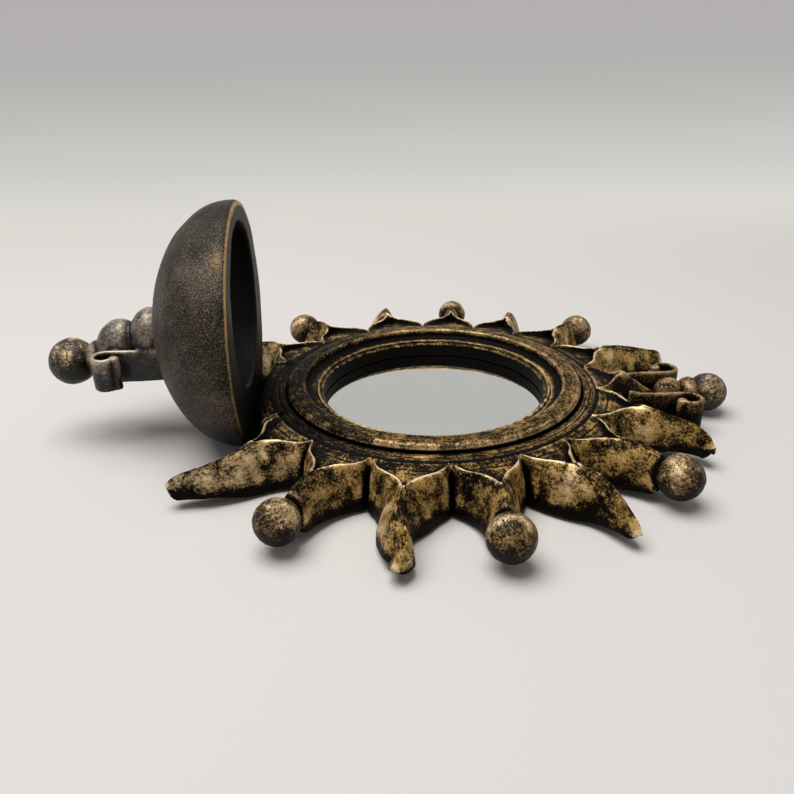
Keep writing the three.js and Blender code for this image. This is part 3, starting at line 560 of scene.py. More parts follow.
raySet = {
    "valleys": [9.8, 31.7, 50.9, 68.5, 89.6, 112.9, 134.4, 157],   # degrees from the crest
    "start": 55.7, "valleyFoot": 61.5, "merge": 71, "plateTop": 15.2, "armTop": 16.2, "back": 1,
    "skirtTop": 3.4, "floorFall": 0.19, "armSide": 1.9, "armShare": 0.95, "seam": 0.04, "straight": 70,
    "flankColumns": 18, "sideColumns": 7, "floorColumns": 12, "backColumns": 12, "wallRows": 7,
    "fineTo": 8.6, "fineStep": 0.22, "coarseStep": 0.42,
    "calmHeading": 160, "calmWidths": 24, "calmHeights": 5,      # smoothing passes
    "stations": [61.5, 66, 71, 77, 84, 90, 97],      # where the half widths are given
    "leanFrom": 68, "leanTo": 78,
    "tipLength": 3.4, "liftLength": 24, "pointedTip": 0.98, "bluntTip": 0.6,
    "ballHalfWidths": [8, 6, 4.9, 4.5, 4.5, 4.5], "ballLift": 2.2,
    # ridge: place along the ray, sideways away from the crest, height; by side, from the crest down
    "pointed": {
        1: [
            {"ridge": [(71, 0.6, 16.2), (78, 1.4, 15), (85, 1.2, 13.4), (92, 0.4, 11.4), (99.6, 0, 9.4)],
             "halfWidths": [8.2, 6.6, 5.4, 4.6, 3.6, 2.4], "lift": 3.4, "lean": 0},
            {"ridge": [(71, 0, 16.2), (78, 0.7, 14.8), (84, 3, 13.1), (89.5, 6, 11.2), (93.6, 8.4, 9.6)],
             "halfWidths": [8, 6, 4.7, 3.8, 3, 2], "lift": 2, "lean": 0},
            {"ridge": [(71, 0, 16.2), (77.5, -0.4, 15.2), (84, -2.5, 13.7), (89.2, -4.4, 11.2),
                       (94, -3.4, 8)],
             "halfWidths": [8.8, 7, 6.2, 4.6, 3.4, 2.2], "lift": 2, "lean": 0.25},
            {"ridge": [(71, -0.8, 16), (79, -1.2, 14.4), (86, -0.6, 12.8), (92, 1.6, 11), (97, 3.4, 8.8)],
             "halfWidths": [8.4, 6.8, 5.6, 4.6, 3.4, 2.2], "lift": 3, "lean": 0},
        ],
        -1: [
            {"ridge": [(71, 0.6, 16.2), (78, 1.4, 14.6), (85, 2, 13.2), (90, 3.8, 11.4), (93.4, 7.4, 9)],
             "halfWidths": [8.2, 6.2, 4.4, 3.4, 2.6, 1.6], "lift": 5.6, "lean": 0},
            {"ridge": [(71, -0.6, 16.2), (77.5, -2.4, 15.2), (84, -2.6, 13), (89.4, -2, 10.4),
                       (94.4, -1.4, 7.8)],
             "halfWidths": [8, 6, 4.4, 3.2, 2.4, 1.6], "lift": 2.8, "lean": 0},
            {"ridge": [(71, 0, 16.2), (77.2, 0, 15.4), (83.4, -1.8, 14), (88.3, -3.6, 11),
                       (93.4, -1.3, 7.4)],
             "halfWidths": [8.8, 6.4, 4.7, 4, 3, 1.7], "lift": 2.6, "lean": 0.4},
            {"ridge": [(71, -0.6, 16), (78.8, -1, 14.2), (86, 0, 12.8), (92, 2.8, 11.2), (97, 4.6, 9.5)],
             "halfWidths": [8.4, 6.6, 5.2, 3.8, 2.8, 1.8], "lift": 5.5, "lean": 0},
        ],
    },
}
# balls by side, from the crest down: place along the ray, sideways away from the crest, radius
rayBallSet = {
    "height": 9.3,
    1: [(89, 2.6, 6.3), (87.2, 1.1, 5.8), (87.4, 0.9, 6.3)],
    -1: [(89.2, 0, 6.9), (86.3, 3.1, 6.8), (88.2, -1, 6.6)],
}


def arcSag(out, side):
    # how far a row bends back beside its middle: round the plate at first, straight later
    arc = raySet["start"] * (1 - np.sqrt(1 - (side / raySet["start"])**2))
    return arc * (1 - smoothStep(out, raySet["start"], raySet["straight"]))


def rayRings(shape, halfPitch, side=1, tipped=True, merge=None):
    # one ray along +X: rows of cross-sections from the plate to the tip. Two arms run in from
    # the valleys round a sunk floor, meet, and go on as one ridge; flanks fall to a low skirt
    merge = merge or raySet["merge"]
    ridge = [(out, sideways * side, height) for out, sideways, height in shape["ridge"]]
    start, armTop = raySet["start"], raySet["armTop"]
    corners = [(start, 0, armTop - 0.8), (start + 2.4, 0, armTop - 0.5), (62, 0, armTop), *ridge]
    _, length = curveThrough(corners)
    coarseFrom = raySet["fineTo"] + 0.2
    coarseCount = int((length[-1] - coarseFrom) / raySet["coarseStep"])
    fine = np.arange(0, raySet["fineTo"], raySet["fineStep"])
    places = np.concatenate([fine, np.linspace(coarseFrom, length[-1], coarseCount)])
    line = curveThrough(corners, places)
    heading = np.gradient(softened(line[:, :2], raySet["calmHeading"]), axis=0)
    heading /= np.linalg.norm(heading, axis=1, keepdims=True)
    out, crest = line[:, :1], line[:, 2:]
    spread = np.tan(np.radians(halfPitch))
    widths = [raySet["valleyFoot"] * spread, *shape["halfWidths"]]
    inValley = (out - arcSag(out, out * spread)) * spread - raySet["seam"]
    free = softened(np.interp(line[:, 0], raySet["stations"], widths), raySet["calmWidths"])[:, None]
    halfWidth = np.minimum(inValley, free)
    toTip = np.clip((places - (length[-1] - raySet["tipLength"])) / raySet["tipLength"], 0, 1)[:, None]
    tip = np.sqrt(1 - raySet["pointedTip" if tipped else "bluntTip"] * toTip**2)
    halfWidth = halfWidth * tip
    arm = np.maximum(0.1, raySet["armShare"] * (1 - smoothStep(out, start + 0.6, merge)))
    foot = np.maximum(arm * 0.45, arm - raySet["armSide"] / halfWidth)
    down = np.linspace(1, 0, raySet["flankColumns"], endpoint=False)[None]
    inward = np.linspace(0, 1, raySet["sideColumns"], endpoint=False)[None]
    middle = np.linspace(1, 0, raySet["floorColumns"], endpoint=False)[None]
    pocket = 1 - smoothStep(out, merge - 3.2, merge - 0.4)
    floor = np.minimum(raySet["plateTop"] - raySet["floorFall"] * (out - start), crest)
    floor = crest + 0.1 + (floor - crest - 0.1) * pocket
    skirt = np.interp(line[:, 0], [start, start + 1.5, raySet["valleyFoot"]],
                      [raySet["plateTop"], armTop - 1, raySet["skirtTop"]])[:, None]
    edge = np.minimum(skirt, crest - 1)
    flankHeight = edge + (crest - edge) * (1 - 0.45 * down - 0.55 * down**3.5)
    sideHeight = crest + (floor - crest) * smoothStep(inward, -0.15, 1.0)
    half = np.concatenate([arm + (1 - arm) * down, arm + (foot - arm) * inward, foot * middle], 1)
    heights = np.concatenate([flankHeight, sideHeight, floor + 0 * middle], 1)
    shares = np.concatenate([-half, 0 * out, half[:, ::-1]], 1)
    heights = np.concatenate([heights, floor, heights[:, ::-1]], 1)
    heights = softened(heights, raySet["calmHeights"], axis=1)
    tipOut = ridge[-1][0]
    bottom = raySet["back"] + shape["lift"] * smoothStep(out, tipOut - raySet["liftLength"], tipOut)
    lean = shape.get("lean", 0) * side * smoothStep(out, raySet["leanFrom"], raySet["leanTo"])
    sideways = shares * halfWidth * (1 + lean * np.sign(shares))
    x = out - heading[:, 1:] * sideways - arcSag(out, sideways)
    y = line[:, 1:2] + heading[:, :1] * sideways
    onFloor = pocket * smoothStep(foot - abs(shares), 0.0, 0.06)
    heights = heights - engravingSet["onFloors"] * onFloor * engraving(np.stack([x, y, heights], -1))
    heights = heights + engravingSet["streak"] * onFloor * streaks(np.stack([x, y, heights], -1))
    middleHeight = 0.5 * (crest + bottom)
    heights = middleHeight + (heights - middleHeight) * tip
    bottom = middleHeight + (bottom - middleHeight) * tip
    top = np.stack([x, y, heights], -1)
    drop = np.linspace(0, 1, raySet["wallRows"])[1:][None, :, None]
    lowered = np.concatenate([top[:, -1:, :2], bottom[..., None]], -1)
    raised = np.concatenate([top[:, :1, :2], bottom[..., None]], -1)
    right = top[:, -1:] + (lowered - top[:, -1:]) * drop
    across = np.linspace(0, 1, raySet["backColumns"])[1:][None, :, None]
    under = lowered + (raised - lowered) * across
    left = raised + (top[:, :1] - raised) * drop[:, :-1]
    return np.concatenate([top, right, under, left], 1)


def rayShadeAndDarkPaint(middle, halfPitch):
    # painted shade, over black paint that the dry brush missed, on the low skirts, the valley walls and the
    # pocket's inner walls, and a dark joint with the plate. Each is a blend over a few tenths of a millimetre
    # to some mm
    def grime(points):
        out, sideways, height = turned(points, -middle).T
        toEdge = out * np.tan(np.radians(halfPitch)) - abs(sideways)
        low = 1 - smoothStep(height, 1.8, 6.4)
        valley = (1 - smoothStep(toEdge, 0.1, 1.8)) * (1 - smoothStep(out, 63, 70))
        valley = valley * (1 - smoothStep(height, 11, 15.5))
        pocketHalf = 9 * (1 - smoothStep(out, 56, 71))
        inside = 1 - smoothStep(abs(sideways) - pocketHalf, -0.6, 0.4)
        floor = raySet["plateTop"] - raySet["floorFall"] * (out - raySet["start"])
        wall = smoothStep(height - floor, 0.1, 0.6) * (1 - smoothStep(height, 15, 16))
        wall = inside * np.maximum(wall, smoothStep(out, 63, 68)) * smoothStep(out, 57, 60)
        joint = 0.9 * (1 - smoothStep(out + arcSag(out, sideways), 56.1, 56.7))
        return np.maximum(np.maximum(low, valley), np.maximum(wall, joint))
    return grime


def besideBall(grime, centre, radius):
    # painted shade: a ball ray is dark where it meets its ball
    def darker(points):
        distance = np.linalg.norm(points - centre, axis=1) - radius
        return np.maximum(grime(points), 1 - smoothStep(distance, 0.2, 2.2))
    return darker


def ballRayShape(place, sideways):
    # a ball ray's ridge leans over to its ball and ends inside it
    steps = [(-17, 0.1, 16.2), (-12.1, 0.35, 15.9), (-8.1, 0.65, 15.2), (-4.1, 0.9, 14.4)]
    ridge = [(place + back, sideways * share, height) for back, share, height in steps]
    return {"ridge": ridge, "halfWidths": raySet["ballHalfWidths"], "lift": raySet["ballLift"]}


def addRays():
    valleys = raySet["valleys"]
    for side in (1, -1):
        for i in range(len(valleys) - 1):
            middle = side * (valleys[i] + valleys[i + 1]) / 2
            halfPitch = (valleys[i + 1] - valleys[i]) / 2
            place = i // 2
            if i % 2 == 0:
                number = place + 1 if side == 1 else place + 5
                rings = rayRings(raySet["pointed"][side][place], halfPitch, side)
                name, node = f"pointedRay_{number}", f"pointed_ray_{number}"
                grime = rayShadeAndDarkPaint(middle, halfPitch)
            else:
                number = place + 1 if side == 1 else place + 4
                out, sideways, radius = rayBallSet[side][place]
                rings = rayRings(ballRayShape(out, sideways), halfPitch, side, tipped=False)
                name, node = f"ballRay_{number}", f"ball_ray_{number}"
                centre = np.array([out, sideways * side, rayBallSet["height"]])
                addRayBall(number, middle, centre, radius)
                grime = besideBall(rayShadeAndDarkPaint(middle, halfPitch), turned(centre, middle), radius)
            points, quads, triangles = tube(rings)
            addPiece(name, (turned(points, middle), quads, triangles), rayBronze, [node],
                     rough=[(6, 0.09), (1.9, 0.035)], grime=grime, convexReach=2.0, convexHeight=0.22,
                     brush=lambda points: turned(points, -middle) * (0.4, 1, 1))


def addRayBall(number, middle, centre, radius):
    points, quads, triangles = ball(centre, (radius, radius, radius), 56, 90)
    addPiece(f"rayBall_{number}", (turned(points, middle), quads, triangles), ballBronze,
             [f"ray_ball_{number}"], rough=[(6, 0.1), (2, 0.05)],
             grime=darkBelow(3, 12))


addRays()
print("rays and their balls made")


crestSet = {
    "voxel": 0.33, "calming": 5,
    "body": {"ridge": [(66, 0, 17.4), (70, 0, 14.6), (74, 0, 11.6), (79, 0, 8.8)],
             "halfWidths": [7, 5.4, 3.6, 3, 3, 3], "lift": 0},
    "merge": 66.5,
    "bulbs": [((83.6, 0, 7.4), (5.6, 5.2, 6.4)), ((90.6, 0, 7.6), (4.2, 5.6, 6.2))],
    "scroll": {"path": [(67.5, 6.2), (71, 8.2), (79, 8.9), (86.4, 8.8)], "eye": (86.4, 13.2),
               "bottom": 1.6, "top": 12.6},
    "ball": ((97.6, 0, 8.1), 6.7),
}
pendantSet = {
    "voxel": 0.33, "calming": 5,
    "bulbs": [((-113.2, 0, 28), (4, 6.2, 6.4)), ((-104.6, 0, 30.6), (8.6, 8.6, 11)),
              ((-94, 0, 33.2), (8, 9.6, 12.2))],
    "scroll": {"path": [(-88, 8.4), (-92, 9), (-98, 9.3), (-106.4, 9.2)], "eye": (-106.4, 13.6),
               "bottom": 23.2, "top": 34.4},
    "ball": ((-121.8, 0, 27.4), 7.8),
}
scrollSet = {
    "thickness": 1.5, "knobRadius": 1.7, "turn": 250, "tighten": 0.28, "edgeRadius": 0.5,
    "step": 0.35, "curlRows": 70, "sectionStep": 0.4, "knobDome": 0.8, "knobColumns": 24,
}
cupRoom = 0.2            # between a ball and the cup that holds it


def scrollSurfaces(shape, side):
    # a standing band: a rounded rectangle carried along a path that curls round its eye, with
    # a rolled rod at the end
    path = [(*corner, 0) for corner in shape["path"]]
    _, length = curveThrough(path)
    straight = curveThrough(path, np.arange(0, length[-1], scrollSet["step"]))[:, :2]
    eye, last = np.array(shape["eye"]), np.array(shape["path"][-1])
    heading = np.sign(last[0] - shape["path"][0][0])
    share = np.linspace(0, 1, scrollSet["curlRows"])
    turn = np.radians(scrollSet["turn"] * share)
    radius = (eye[1] - last[1]) * (1 - scrollSet["tighten"] * share)
    curl = np.stack([eye[0] + heading * radius * np.sin(turn), eye[1] - radius * np.cos(turn)], 1)
    line = np.concatenate([straight, curl])
    line[:, 1] *= side
    forward = np.gradient(line, axis=0)
    forward /= np.linalg.norm(forward, axis=1, keepdims=True)
    across = np.stack([-forward[:, 1], forward[:, 0]], 1)
    half, low, high = scrollSet["thickness"] / 2, shape["bottom"], shape["top"]
    corners = [(-half, low), (half, low), (half, high), (-half, high)]
    section = roundedLoop(corners, scrollSet["edgeRadius"], scrollSet["sectionStep"])
    rings = line[:, None, :] + across[:, None, :] * section[None, :, :1]
    heights = np.broadcast_to(section[None, :, 1:], (len(line), len(section), 1))
    knob, dome = scrollSet["knobRadius"], scrollSet["knobDome"]
    rise = np.linspace(0.3, 1.5, 5)
    shaft = np.linspace(low + 0.1, high - dome, 8)
    rodHeights = np.concatenate([[low], shaft, high - dome + dome * np.sin(rise)])
    rodRadii = np.concatenate([[knob - 0.2], np.full(8, knob), knob * np.cos(rise) ** 0.6])[:, None]
    angle = np.linspace(0, 2 * np.pi, scrollSet["knobColumns"], endpoint=False)
    rod = np.stack([line[-1, 0] + rodRadii * np.cos(angle), line[-1, 1] + rodRadii * np.sin(angle),
                    rodHeights[:, None] + 0 * angle], -1)
    return [tube(np.concatenate([rings, heights], -1)), tube(rod)]


def cupped(surface, shape):
    # points inside the ball are pushed out to just above it, which leaves a cup that holds it
    points, quads, triangles = surface
    centre, radius = shape
    away = points - centre
    distance = np.linalg.norm(away, axis=1, keepdims=True)
    return centre + away * np.maximum(1, (radius + cupRoom) / distance), quads, triangles


def addCrest():
    surfaces = [tube(rayRings(crestSet["body"], raySet["valleys"][0], tipped=False, merge=crestSet["merge"]))]
    surfaces += [ball(centre, radii) for centre, radii in crestSet["bulbs"]]
    for side in (1, -1):
        surfaces += scrollSurfaces(crestSet["scroll"], side)
    skin = fused("crestFinial", surfaces, crestSet["voxel"], crestSet["calming"])
    skin = cupped(skin, crestSet["ball"])
    addPiece("crestFinial", skin, finialBronze, ["crest_finial"],
             rough=[(5, 0.07), (1.8, 0.03)], grime=darkBelow(5, 10.5))
    centre, radius = crestSet["ball"]
    addPiece("crestBall", ball(centre, (radius, radius, radius), 56, 90), darkBallBronze,
             ["crest_ball"], rough=[(6, 0.1), (2, 0.05)], grime=darkBelow(2, 8))


def addPendant():
    surfaces = [ball(centre, radii) for centre, radii in pendantSet["bulbs"]]
    for side in (1, -1):
        surfaces += scrollSurfaces(pendantSet["scroll"], side)
    skin = fused("pendantFinial", surfaces, pendantSet["voxel"], pendantSet["calming"])
    skin = cupped(skin, pendantSet["ball"])
    addPiece("pendantFinial", skin, pendantBronze, ["pendant_finial"],
             rough=[(5, 0.07), (1.8, 0.03)], grime=darkBelow(22, 33, 0.8))
    centre, radius = pendantSet["ball"]
    addPiece("pendantBall", ball(centre, (radius, radius, radius), 64, 100), darkBallBronze,
             ["pendant_ball"], rough=[(7, 0.12), (2, 0.05)], grime=darkBelow(20, 31))


addCrest()
addPendant()
print("finials made")


bowlSet = {
    "rimPlace": -62.4, "axisHeight": 38.8, "rimRadius": 39.1, "radius": 40.6, "shoulder": 2, "depth": 29.3,
    "mouthRadius": 27.2, "mouthHeight": 45.8, "mouthDepth": 20, "columns": 240,
    "screwHeight": 33, "screwSeat": -79.3, "screwRoom": 4.4,
    # the rim's edge and one spot turn pale, partly as a painted highlight
    "paleSpot": (-64.5, -27.2, 68.0), "spotSize": 2.8, "spotGain": 0.22, "edgeGain": 0.3,
    # painted shade in the hollow and at the foot; the rim face is a little darker in its own paint
    "hollowReach": 1.12, "rimGrime": 0.3, "footShade": 0.6,
}
seatSet = {"floor": 8, "halfWidth": 24.5, "rows": 46, "columns": 90}


def bowlRows():
    # profile from the outer apex over the shoulder, round the rim's arris, across the flat
    # rim, over the mouth's edge and down to the inner apex: place, radius, height of the middle
    b = bowlSet
    turn = np.linspace(np.pi / 2 - 0.03, 0, 64)
    depth = b["shoulder"] + (b["depth"] - b["shoulder"]) * np.sin(turn)
    outer = np.stack([depth, b["radius"] * np.cos(turn)], 1)
    turn = np.linspace(0, np.pi / 2 - 0.3, 9)[1:]
    swell = (b["radius"] - b["rimRadius"]) * np.cos(turn)
    shoulder = np.stack([b["shoulder"] * (1 - np.sin(turn)), b["rimRadius"] + swell], 1)
    rimOuter, rimInner = b["rimRadius"] - 0.7, b["mouthRadius"] + 0.8
    arris = np.array([(0.12, b["rimRadius"] - 0.1), (0.0, rimOuter)])
    outside = np.concatenate([outer, shoulder, arris])
    share = np.linspace(0, 1, 26)[1:-1]
    rim = np.stack([0 * share, rimOuter + (rimInner - rimOuter) * share], 1)
    turn = np.linspace(0.0, np.pi / 2 - 0.03, 52)
    inner = np.stack([b["mouthDepth"] * np.sin(turn), b["mouthRadius"] * np.cos(turn)], 1)
    edge = np.array([(0.05, b["mouthRadius"] + 0.45), (0.3, b["mouthRadius"] + 0.15)])
    inner = inner[inner[:, 0] > 0.7]      # the rest is the mouth's rounded edge
    rows = np.concatenate([outside, rim, edge, inner])
    moved = np.concatenate([np.zeros(len(outside)), share, np.ones(len(edge) + len(inner))])
    heights = b["axisHeight"] + (b["mouthHeight"] - b["axisHeight"]) * moved
    return b["rimPlace"] - rows[:, 0], rows[:, 1], heights


def addBowl():
    place, radius, height = (column[:, None] for column in bowlRows())
    angle = np.linspace(0, 2 * np.pi, bowlSet["columns"], endpoint=False)
    rings = np.stack([place + 0 * angle, radius * np.sin(angle), height + radius * np.cos(angle)], -1)
    inside = (np.arange(len(rings)) > 100)[:, None]
    toScrew = np.hypot(rings[..., 1], rings[..., 2] - bowlSet["screwHeight"])
    seated = inside * (1 - smoothStep(toScrew, bowlSet["screwRoom"] - 0.5, bowlSet["screwRoom"] + 0.6))
    rings[..., 0] += (bowlSet["screwSeat"] - rings[..., 0]) * seated
    points, quads, triangles = tube(rings)
    points[:, 2] = np.maximum(points[:, 2], 0)
    addPiece("candleBowl", (points, quads, triangles), bowlBronze, ["candle_bowl"],
             rough=[(16, 0.08), (2.2, 0.03)], grime=bowlShadeAndRim, wearAndHighlight=bowlEdgeAndHighlight)


def bowlEdgeAndHighlight(points):
    # gold on the rim's outer edge, which also turns pale as a painted highlight, more of it higher up where
    # the light falls; and a pale trace round one spot
    fromAxis = np.hypot(points[:, 1], points[:, 2] - bowlSet["axisHeight"])
    edge = smoothStep(points[:, 0], -63.1, -62.7) * smoothStep(fromAxis, 38.6, 38.9)
    fromSpot = np.linalg.norm((points - bowlSet["paleSpot"]) * (1, 0.6, 0.6), axis=1)
    edge = edge * bowlSet["edgeGain"] * (1 + smoothStep(points[:, 2], 30, 60))
    return np.maximum(edge, bowlSet["spotGain"] * np.exp(-(fromSpot / bowlSet["spotSize"])**2))


def bowlShadeAndRim(points):
    # painted shade makes the hollow and its edge near black and the foot dark; the rim face is a little
    # darker in its own paint
    fromMouth = np.hypot(points[:, 1], points[:, 2] - bowlSet["mouthHeight"])
    fromAxis = np.hypot(points[:, 1], points[:, 2] - bowlSet["axisHeight"])
    sunk = (bowlSet["rimPlace"] - points[:, 0]) / bowlSet["mouthDepth"]
    hollow = sunk**2 + (fromMouth / bowlSet["mouthRadius"])**2 < bowlSet["hollowReach"]
    rim = bowlSet["rimGrime"] * (points[:, 0] > -62.8) * (1 - smoothStep(fromAxis, 37.9, 38.7))
    foot = bowlSet["footShade"] * (1 - smoothStep(points[:, 2], 2, 22))
    return np.maximum(np.maximum(hollow, rim), foot)


def seatShadeAndJoint(points):
    # painted shade under the bowl and on the lip, and a dark joint with the plate
    joint = 1 - smoothStep(np.hypot(points[:, 0], points[:, 1]), 55.8, 56.8)
    return np.maximum(0.8 * smoothStep(-points[:, 0], 54, 60) + (points[:, 2] < 6), joint)


def addSeat():
    # floor from the plate's edge to the rim of the bowl: it falls slowly, then drops to a lip
    across = np.linspace(-1, 1, seatSet["columns"])[None]
    share = np.linspace(0, 1, seatSet["rows"])[:, None]
    y = seatSet["halfWidth"] * across
    nearEdge = np.sqrt(raySet["start"]**2 - y**2)
    farEdge = -bowlSet["rimPlace"] - 0.1
    x = nearEdge + (farEdge - nearEdge) * share
    radius = np.hypot(x, y)
    halfAngle = np.radians(180 - raySet["valleys"][-1])
    limit = x * np.tan(halfAngle) - 0.05
    y = np.where(abs(y) > limit, np.sign(y) * np.minimum(abs(y), limit), y)
    z = raySet["plateTop"] - raySet["floorFall"] * (radius - raySet["start"])
    z = z + (seatSet["floor"] - z) * smoothStep(share, 0.45, 1.0)
    rise = (1 - smoothStep(limit - abs(y), 0.2, 2.4)) * (1 - smoothStep(share, 0.3, 0.95))
    z = z + rise * (raySet["armTop"] - raySet["plateTop"]) * 0.9
    top = np.stack([-x, y, z], -1)
    top[..., 2] -= engravingSet["onFloors"] * engraving(top)
    top[..., 2] += engravingSet["streak"] * streaks(top)
    bottom = top[:, ::-1].copy()
    bottom[..., 2] = raySet["back"]
    drop = np.linspace(0, 1, 6)[1:-1][None, :, None]
    right = top[:, -1:] + (bottom[:, :1] - top[:, -1:]) * drop
    left = bottom[:, -1:] + (top[:, :1] - bottom[:, -1:]) * drop
    surface = tube(np.concatenate([top, right, bottom, left], 1))
    addPiece("bowlSeat", surface, plateBronze, ["bowl_seat"],
             rough=[(4, 0.06)], brush=roundStrokes, grime=seatShadeAndJoint)


addBowl()
addSeat()
print("bowl and seat made")


def silverGlass():
    # clear silvering with the faintest smears
    material, finish, place = newFinish("silvered_glass")
    smears = finish.step(finish.noise(place, 16, 4, 0.6, 1.2), 0.52, 0.72)
    surfaceOut(finish, {
        "Base Color": finish.mix(smears, (0.93, 0.95, 0.93), (0.9, 0.92, 0.9)),
        "Metallic": 1.0,
        "Roughness": 0.012 + smears * 0.03,
    })
    return material


def boardFinish():
    # pressed brown fibre: short matted fibres over a patchy ground
    material, finish, place = newFinish("pressed_board")
    fibres = finish.noise(place, 0.8, 4, 0.7, 2.2)
    ground = finish.noise(place, 9, 3)
    tone = finish.step(fibres * 0.7 + ground * 0.3, 0.35, 0.65)
    surfaceOut(finish, {
        "Base Color": finish.mix(tone, (0.13, 0.068, 0.03), (0.25, 0.14, 0.065)),
        "Roughness": 0.62 + fibres * 0.25,
        "Normal": finish.bump(fibres, 0.05, 0.5),
    })
    return material


def feltFinish():
    # fine black fuzz
    material, finish, place = newFinish("black_felt")
    fuzz = finish.noise(place, 0.5, 5, 0.8)
    surfaceOut(finish, {
        "Base Color": finish.mix(fuzz, (0.01, 0.01, 0.01), (0.035, 0.034, 0.033)),
        "Roughness": 0.85 + fuzz * 0.15,
        "Normal": finish.bump(fuzz, 0.1, 0.7),
    })
    return material


def steelFinish():
    # zinc spangle with short scratches
    material, finish, place = newFinish("zinc_steel")
    spangle = finish.noise(place, 1.6, 3, 0.6)
    scratches = finish.noise(place, 0.4, 2, 0.5, 3)
    surfaceOut(finish, {
        "Base Color": finish.mix(spangle, (0.42, 0.42, 0.4), (0.6, 0.6, 0.58)),
        "Metallic": 1.0,
        "Roughness": 0.28 + scratches * 0.22,
        "Normal": finish.bump(scratches, 0.02, 0.25),
    })
    return material


def beechFinish():
    # pale wood whose rays run along the dowel
    material, finish, place = newFinish("beech_dowel")
    stretched = finish.add("ShaderNodeMapping", None, {"Vector": place, "Scale": (0.12, 1, 1)}, "Vector")
    rays = finish.noise(stretched, 0.6, 4, 0.6)
    surfaceOut(finish, {
        "Base Color": finish.mix(finish.step(rays, 0.35, 0.65), (0.42, 0.25, 0.12), (0.6, 0.4, 0.22)),
        "Roughness": 0.6 + rays * 0.2,
    })
    return material


def dressNodes():
    # the frame's own pieces that stay as they are get their finishes
    board, steel, beech = boardFinish(), steelFinish(), beechFinish()
    finishes = {
        "mirror_glass": silverGlass(), "mirror_pad": feltFinish(), "backing_board": board,
        "back_cover": board, "wall_hanger": steel, "pendant_screw": steel,
    }
    finishes.update({f"cover_screw_{i}": steel for i in range(1, 5)})
    finishes.update({f"hanger_screw_{i}": steel for i in range(1, 3)})
    finishes.update({f"bowl_dowel_{i}": beech for i in range(1, 3)})
    for name, finish in finishes.items():
        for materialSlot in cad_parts[name].material_slots:
            materialSlot.material = finish


dressNodes()
print("glass, back and fasteners dressed")


stageSet = {
    "floorSize": 12.0, "floorDrop": 0.0001, "albedo": (0.72, 0.69, 0.66), "seen": (0.83, 0.79, 0.755),
    "paintedFrom": 0.14, "paintedTo": 0.36, "rampHalf": 0.5,
    "ramp": [(0.0, (0.735, 0.71, 0.67)), (0.36, (0.722, 0.7, 0.657)), (0.42, (0.7, 0.68, 0.64)),
             (0.5, (0.625, 0.614, 0.588)), (0.607, (0.55, 0.545, 0.523)), (0.755, (0.472, 0.462, 0.449)),
             (1.0, (0.45, 0.435, 0.43))],
    "far": (0.45, 0.435, 0.43), "mirrored": (0.535, 0.527, 0.512), "ceiling": (0.95, 0.95, 0.95),
    "ambient": 0.22, "cloudSize": 90, "cloud": 0.02,
}
keySet = {"place": (-0.22, -0.02, 0.95), "aim": (-0.03, 0.0, 0.0), "size": 0.9, "power": 8.3}
cameraSet = {
    "azimuth": -1.98, "elevation": 25.24, "roll": -1.02, "distance": 270.56, "focalPixels": 818.74,
    "target": (-13.15, -14.65, 18), "principalRow": 394.12, "imageSize": 794, "sensor": 36,
}


def addFloor():
    # lit near the mirror; farther off the camera, gloss and glass see the photo's own fall-off
    size = stageSet["floorSize"] / 2
    mesh = bpy.data.meshes.new("floor")
    corners = [(-size, -size), (size, -size), (size, size), (-size, size)]
    mesh.from_pydata([(x, y, -stageSet["floorDrop"]) for x, y in corners], [], [(0, 1, 2, 3)])
    floor = bpy.data.objects.new("floor", mesh)
    bpy.context.scene.collection.objects.link(floor)
    material, finish, place = newFinish("pale_table")
    depth = finish.add("ShaderNodeSeparateXYZ", None, {"Vector": place}, "Y")
    seen = finish.seenDirectly()
    cloud = (finish.noise(place, stageSet["cloudSize"], 2) - 0.5) * stageSet["cloud"]
    lit = finish.add("ShaderNodeBsdfPrincipled", None, {
        "Base Color": finish.mix(seen, stageSet["albedo"], stageSet["seen"]),
        "Roughness": 0.9 + cloud,
        "Specular IOR Level": 0.1,
    }, "BSDF")
    away = depth / (depth + stageSet["rampHalf"])      # 0 at the mirror, 1 at any distance
    ramp = finish.add("ShaderNodeValToRGB", {"stops": stageSet["ramp"]}, {"Fac": away}, "Color")
    painted = finish.add("ShaderNodeEmission", None, {"Color": ramp}, "Emission")
    share = seen * finish.step(depth, stageSet["paintedFrom"], stageSet["paintedTo"])
    surface = finish.add("ShaderNodeMixShader", None, {0: share, 1: lit, 2: painted}, "Shader")
    finish.add("ShaderNodeOutputMaterial", None, {"Surface": surface})
    mesh.materials.append(material)


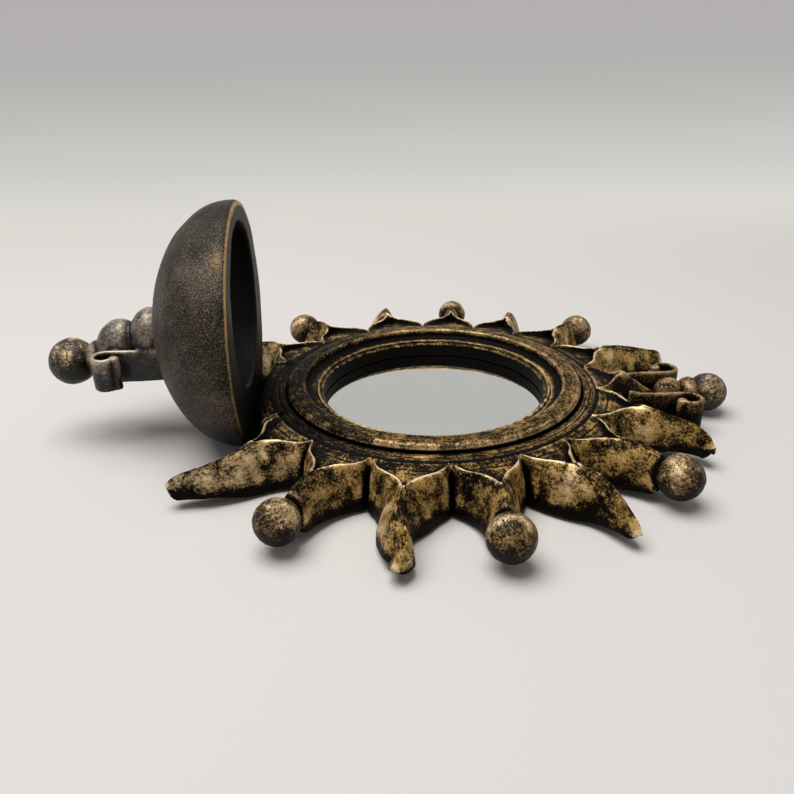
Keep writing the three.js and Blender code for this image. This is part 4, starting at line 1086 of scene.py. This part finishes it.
def addWorld():
    # an even soft light for the diffuse rays; camera, gloss and glass see a pale room instead,
    # darker low down and bright overhead
    world = bpy.data.worlds.new("pale_room")
    bpy.context.scene.world = world
    world.use_nodes = True
    finish = Finish(world.node_tree)
    direction = finish.add("ShaderNodeTexCoord", None, None, "Generated")
    split = finish.add("ShaderNodeSeparateXYZ", None, {"Vector": direction}, "Z")
    far, mirrored = stageSet["far"], stageSet["mirrored"]
    stops = [(0.0, far), (0.03, far), (0.3, mirrored), (0.5, mirrored), (0.85, stageSet["ceiling"])]
    room = finish.add("ShaderNodeValToRGB", {"stops": stops}, {"Fac": split}, "Color")
    ambient = stageSet["ambient"]
    colour = finish.mix(finish.seenDirectly(), (ambient, ambient, ambient), room)
    background = finish.add("ShaderNodeBackground", None, {"Color": colour, "Strength": 1.0}, "Background")
    finish.add("ShaderNodeOutputWorld", None, {"Surface": background})


def aimed(place, aim):
    # rotation that points a lamp's -Z from place to aim
    back = np.array(place) - np.array(aim)
    back /= np.linalg.norm(back)
    right = np.cross((0, 1, 0), back)
    right /= np.linalg.norm(right)
    return Matrix(np.stack([right, np.cross(back, right), back], 1).tolist()).to_euler()


def addKeyLight():
    # one large soft lamp overhead
    lamp = bpy.data.lights.new("softbox", "AREA")
    lamp.shape = "DISK"
    lamp.size = keySet["size"]
    lamp.energy = keySet["power"]
    light = bpy.data.objects.new("softbox", lamp)
    light.location = keySet["place"]
    light.rotation_euler = aimed(keySet["place"], keySet["aim"])
    bpy.context.scene.collection.objects.link(light)


def addCamera():
    # the photo's own camera, found from the ring's circles, the balls and the ridges
    c = cameraSet
    azimuth, elevation, roll = (np.radians(c[key]) for key in ("azimuth", "elevation", "roll"))
    level = np.cos(elevation)
    back = np.array([np.sin(azimuth) * level, -np.cos(azimuth) * level, np.sin(elevation)])
    right = np.cross(-back, (0, 0, 1))
    right /= np.linalg.norm(right)
    up = np.cross(right, -back)
    right, up = np.cos(roll) * right + np.sin(roll) * up, -np.sin(roll) * right + np.cos(roll) * up
    lens = bpy.data.cameras.new("camera")
    lens.sensor_width = c["sensor"]
    lens.lens = c["sensor"] * c["focalPixels"] / c["imageSize"]
    lens.shift_y = (c["principalRow"] - c["imageSize"] / 2) / c["imageSize"]
    lens.clip_start = 0.01
    camera = bpy.data.objects.new("camera", lens)
    place = (np.array(c["target"]) + back * c["distance"]) * mm
    pose = np.eye(4)
    pose[:3, :3] = np.stack([right, up, back], 1)
    pose[:3, 3] = place
    camera.matrix_world = Matrix(pose.tolist())
    bpy.context.scene.collection.objects.link(camera)
    bpy.context.scene.camera = camera


addFloor()
addWorld()
addKeyLight()
addCamera()
bpy.context.scene.view_settings.view_transform = "Standard"
print("floor, light and camera set")
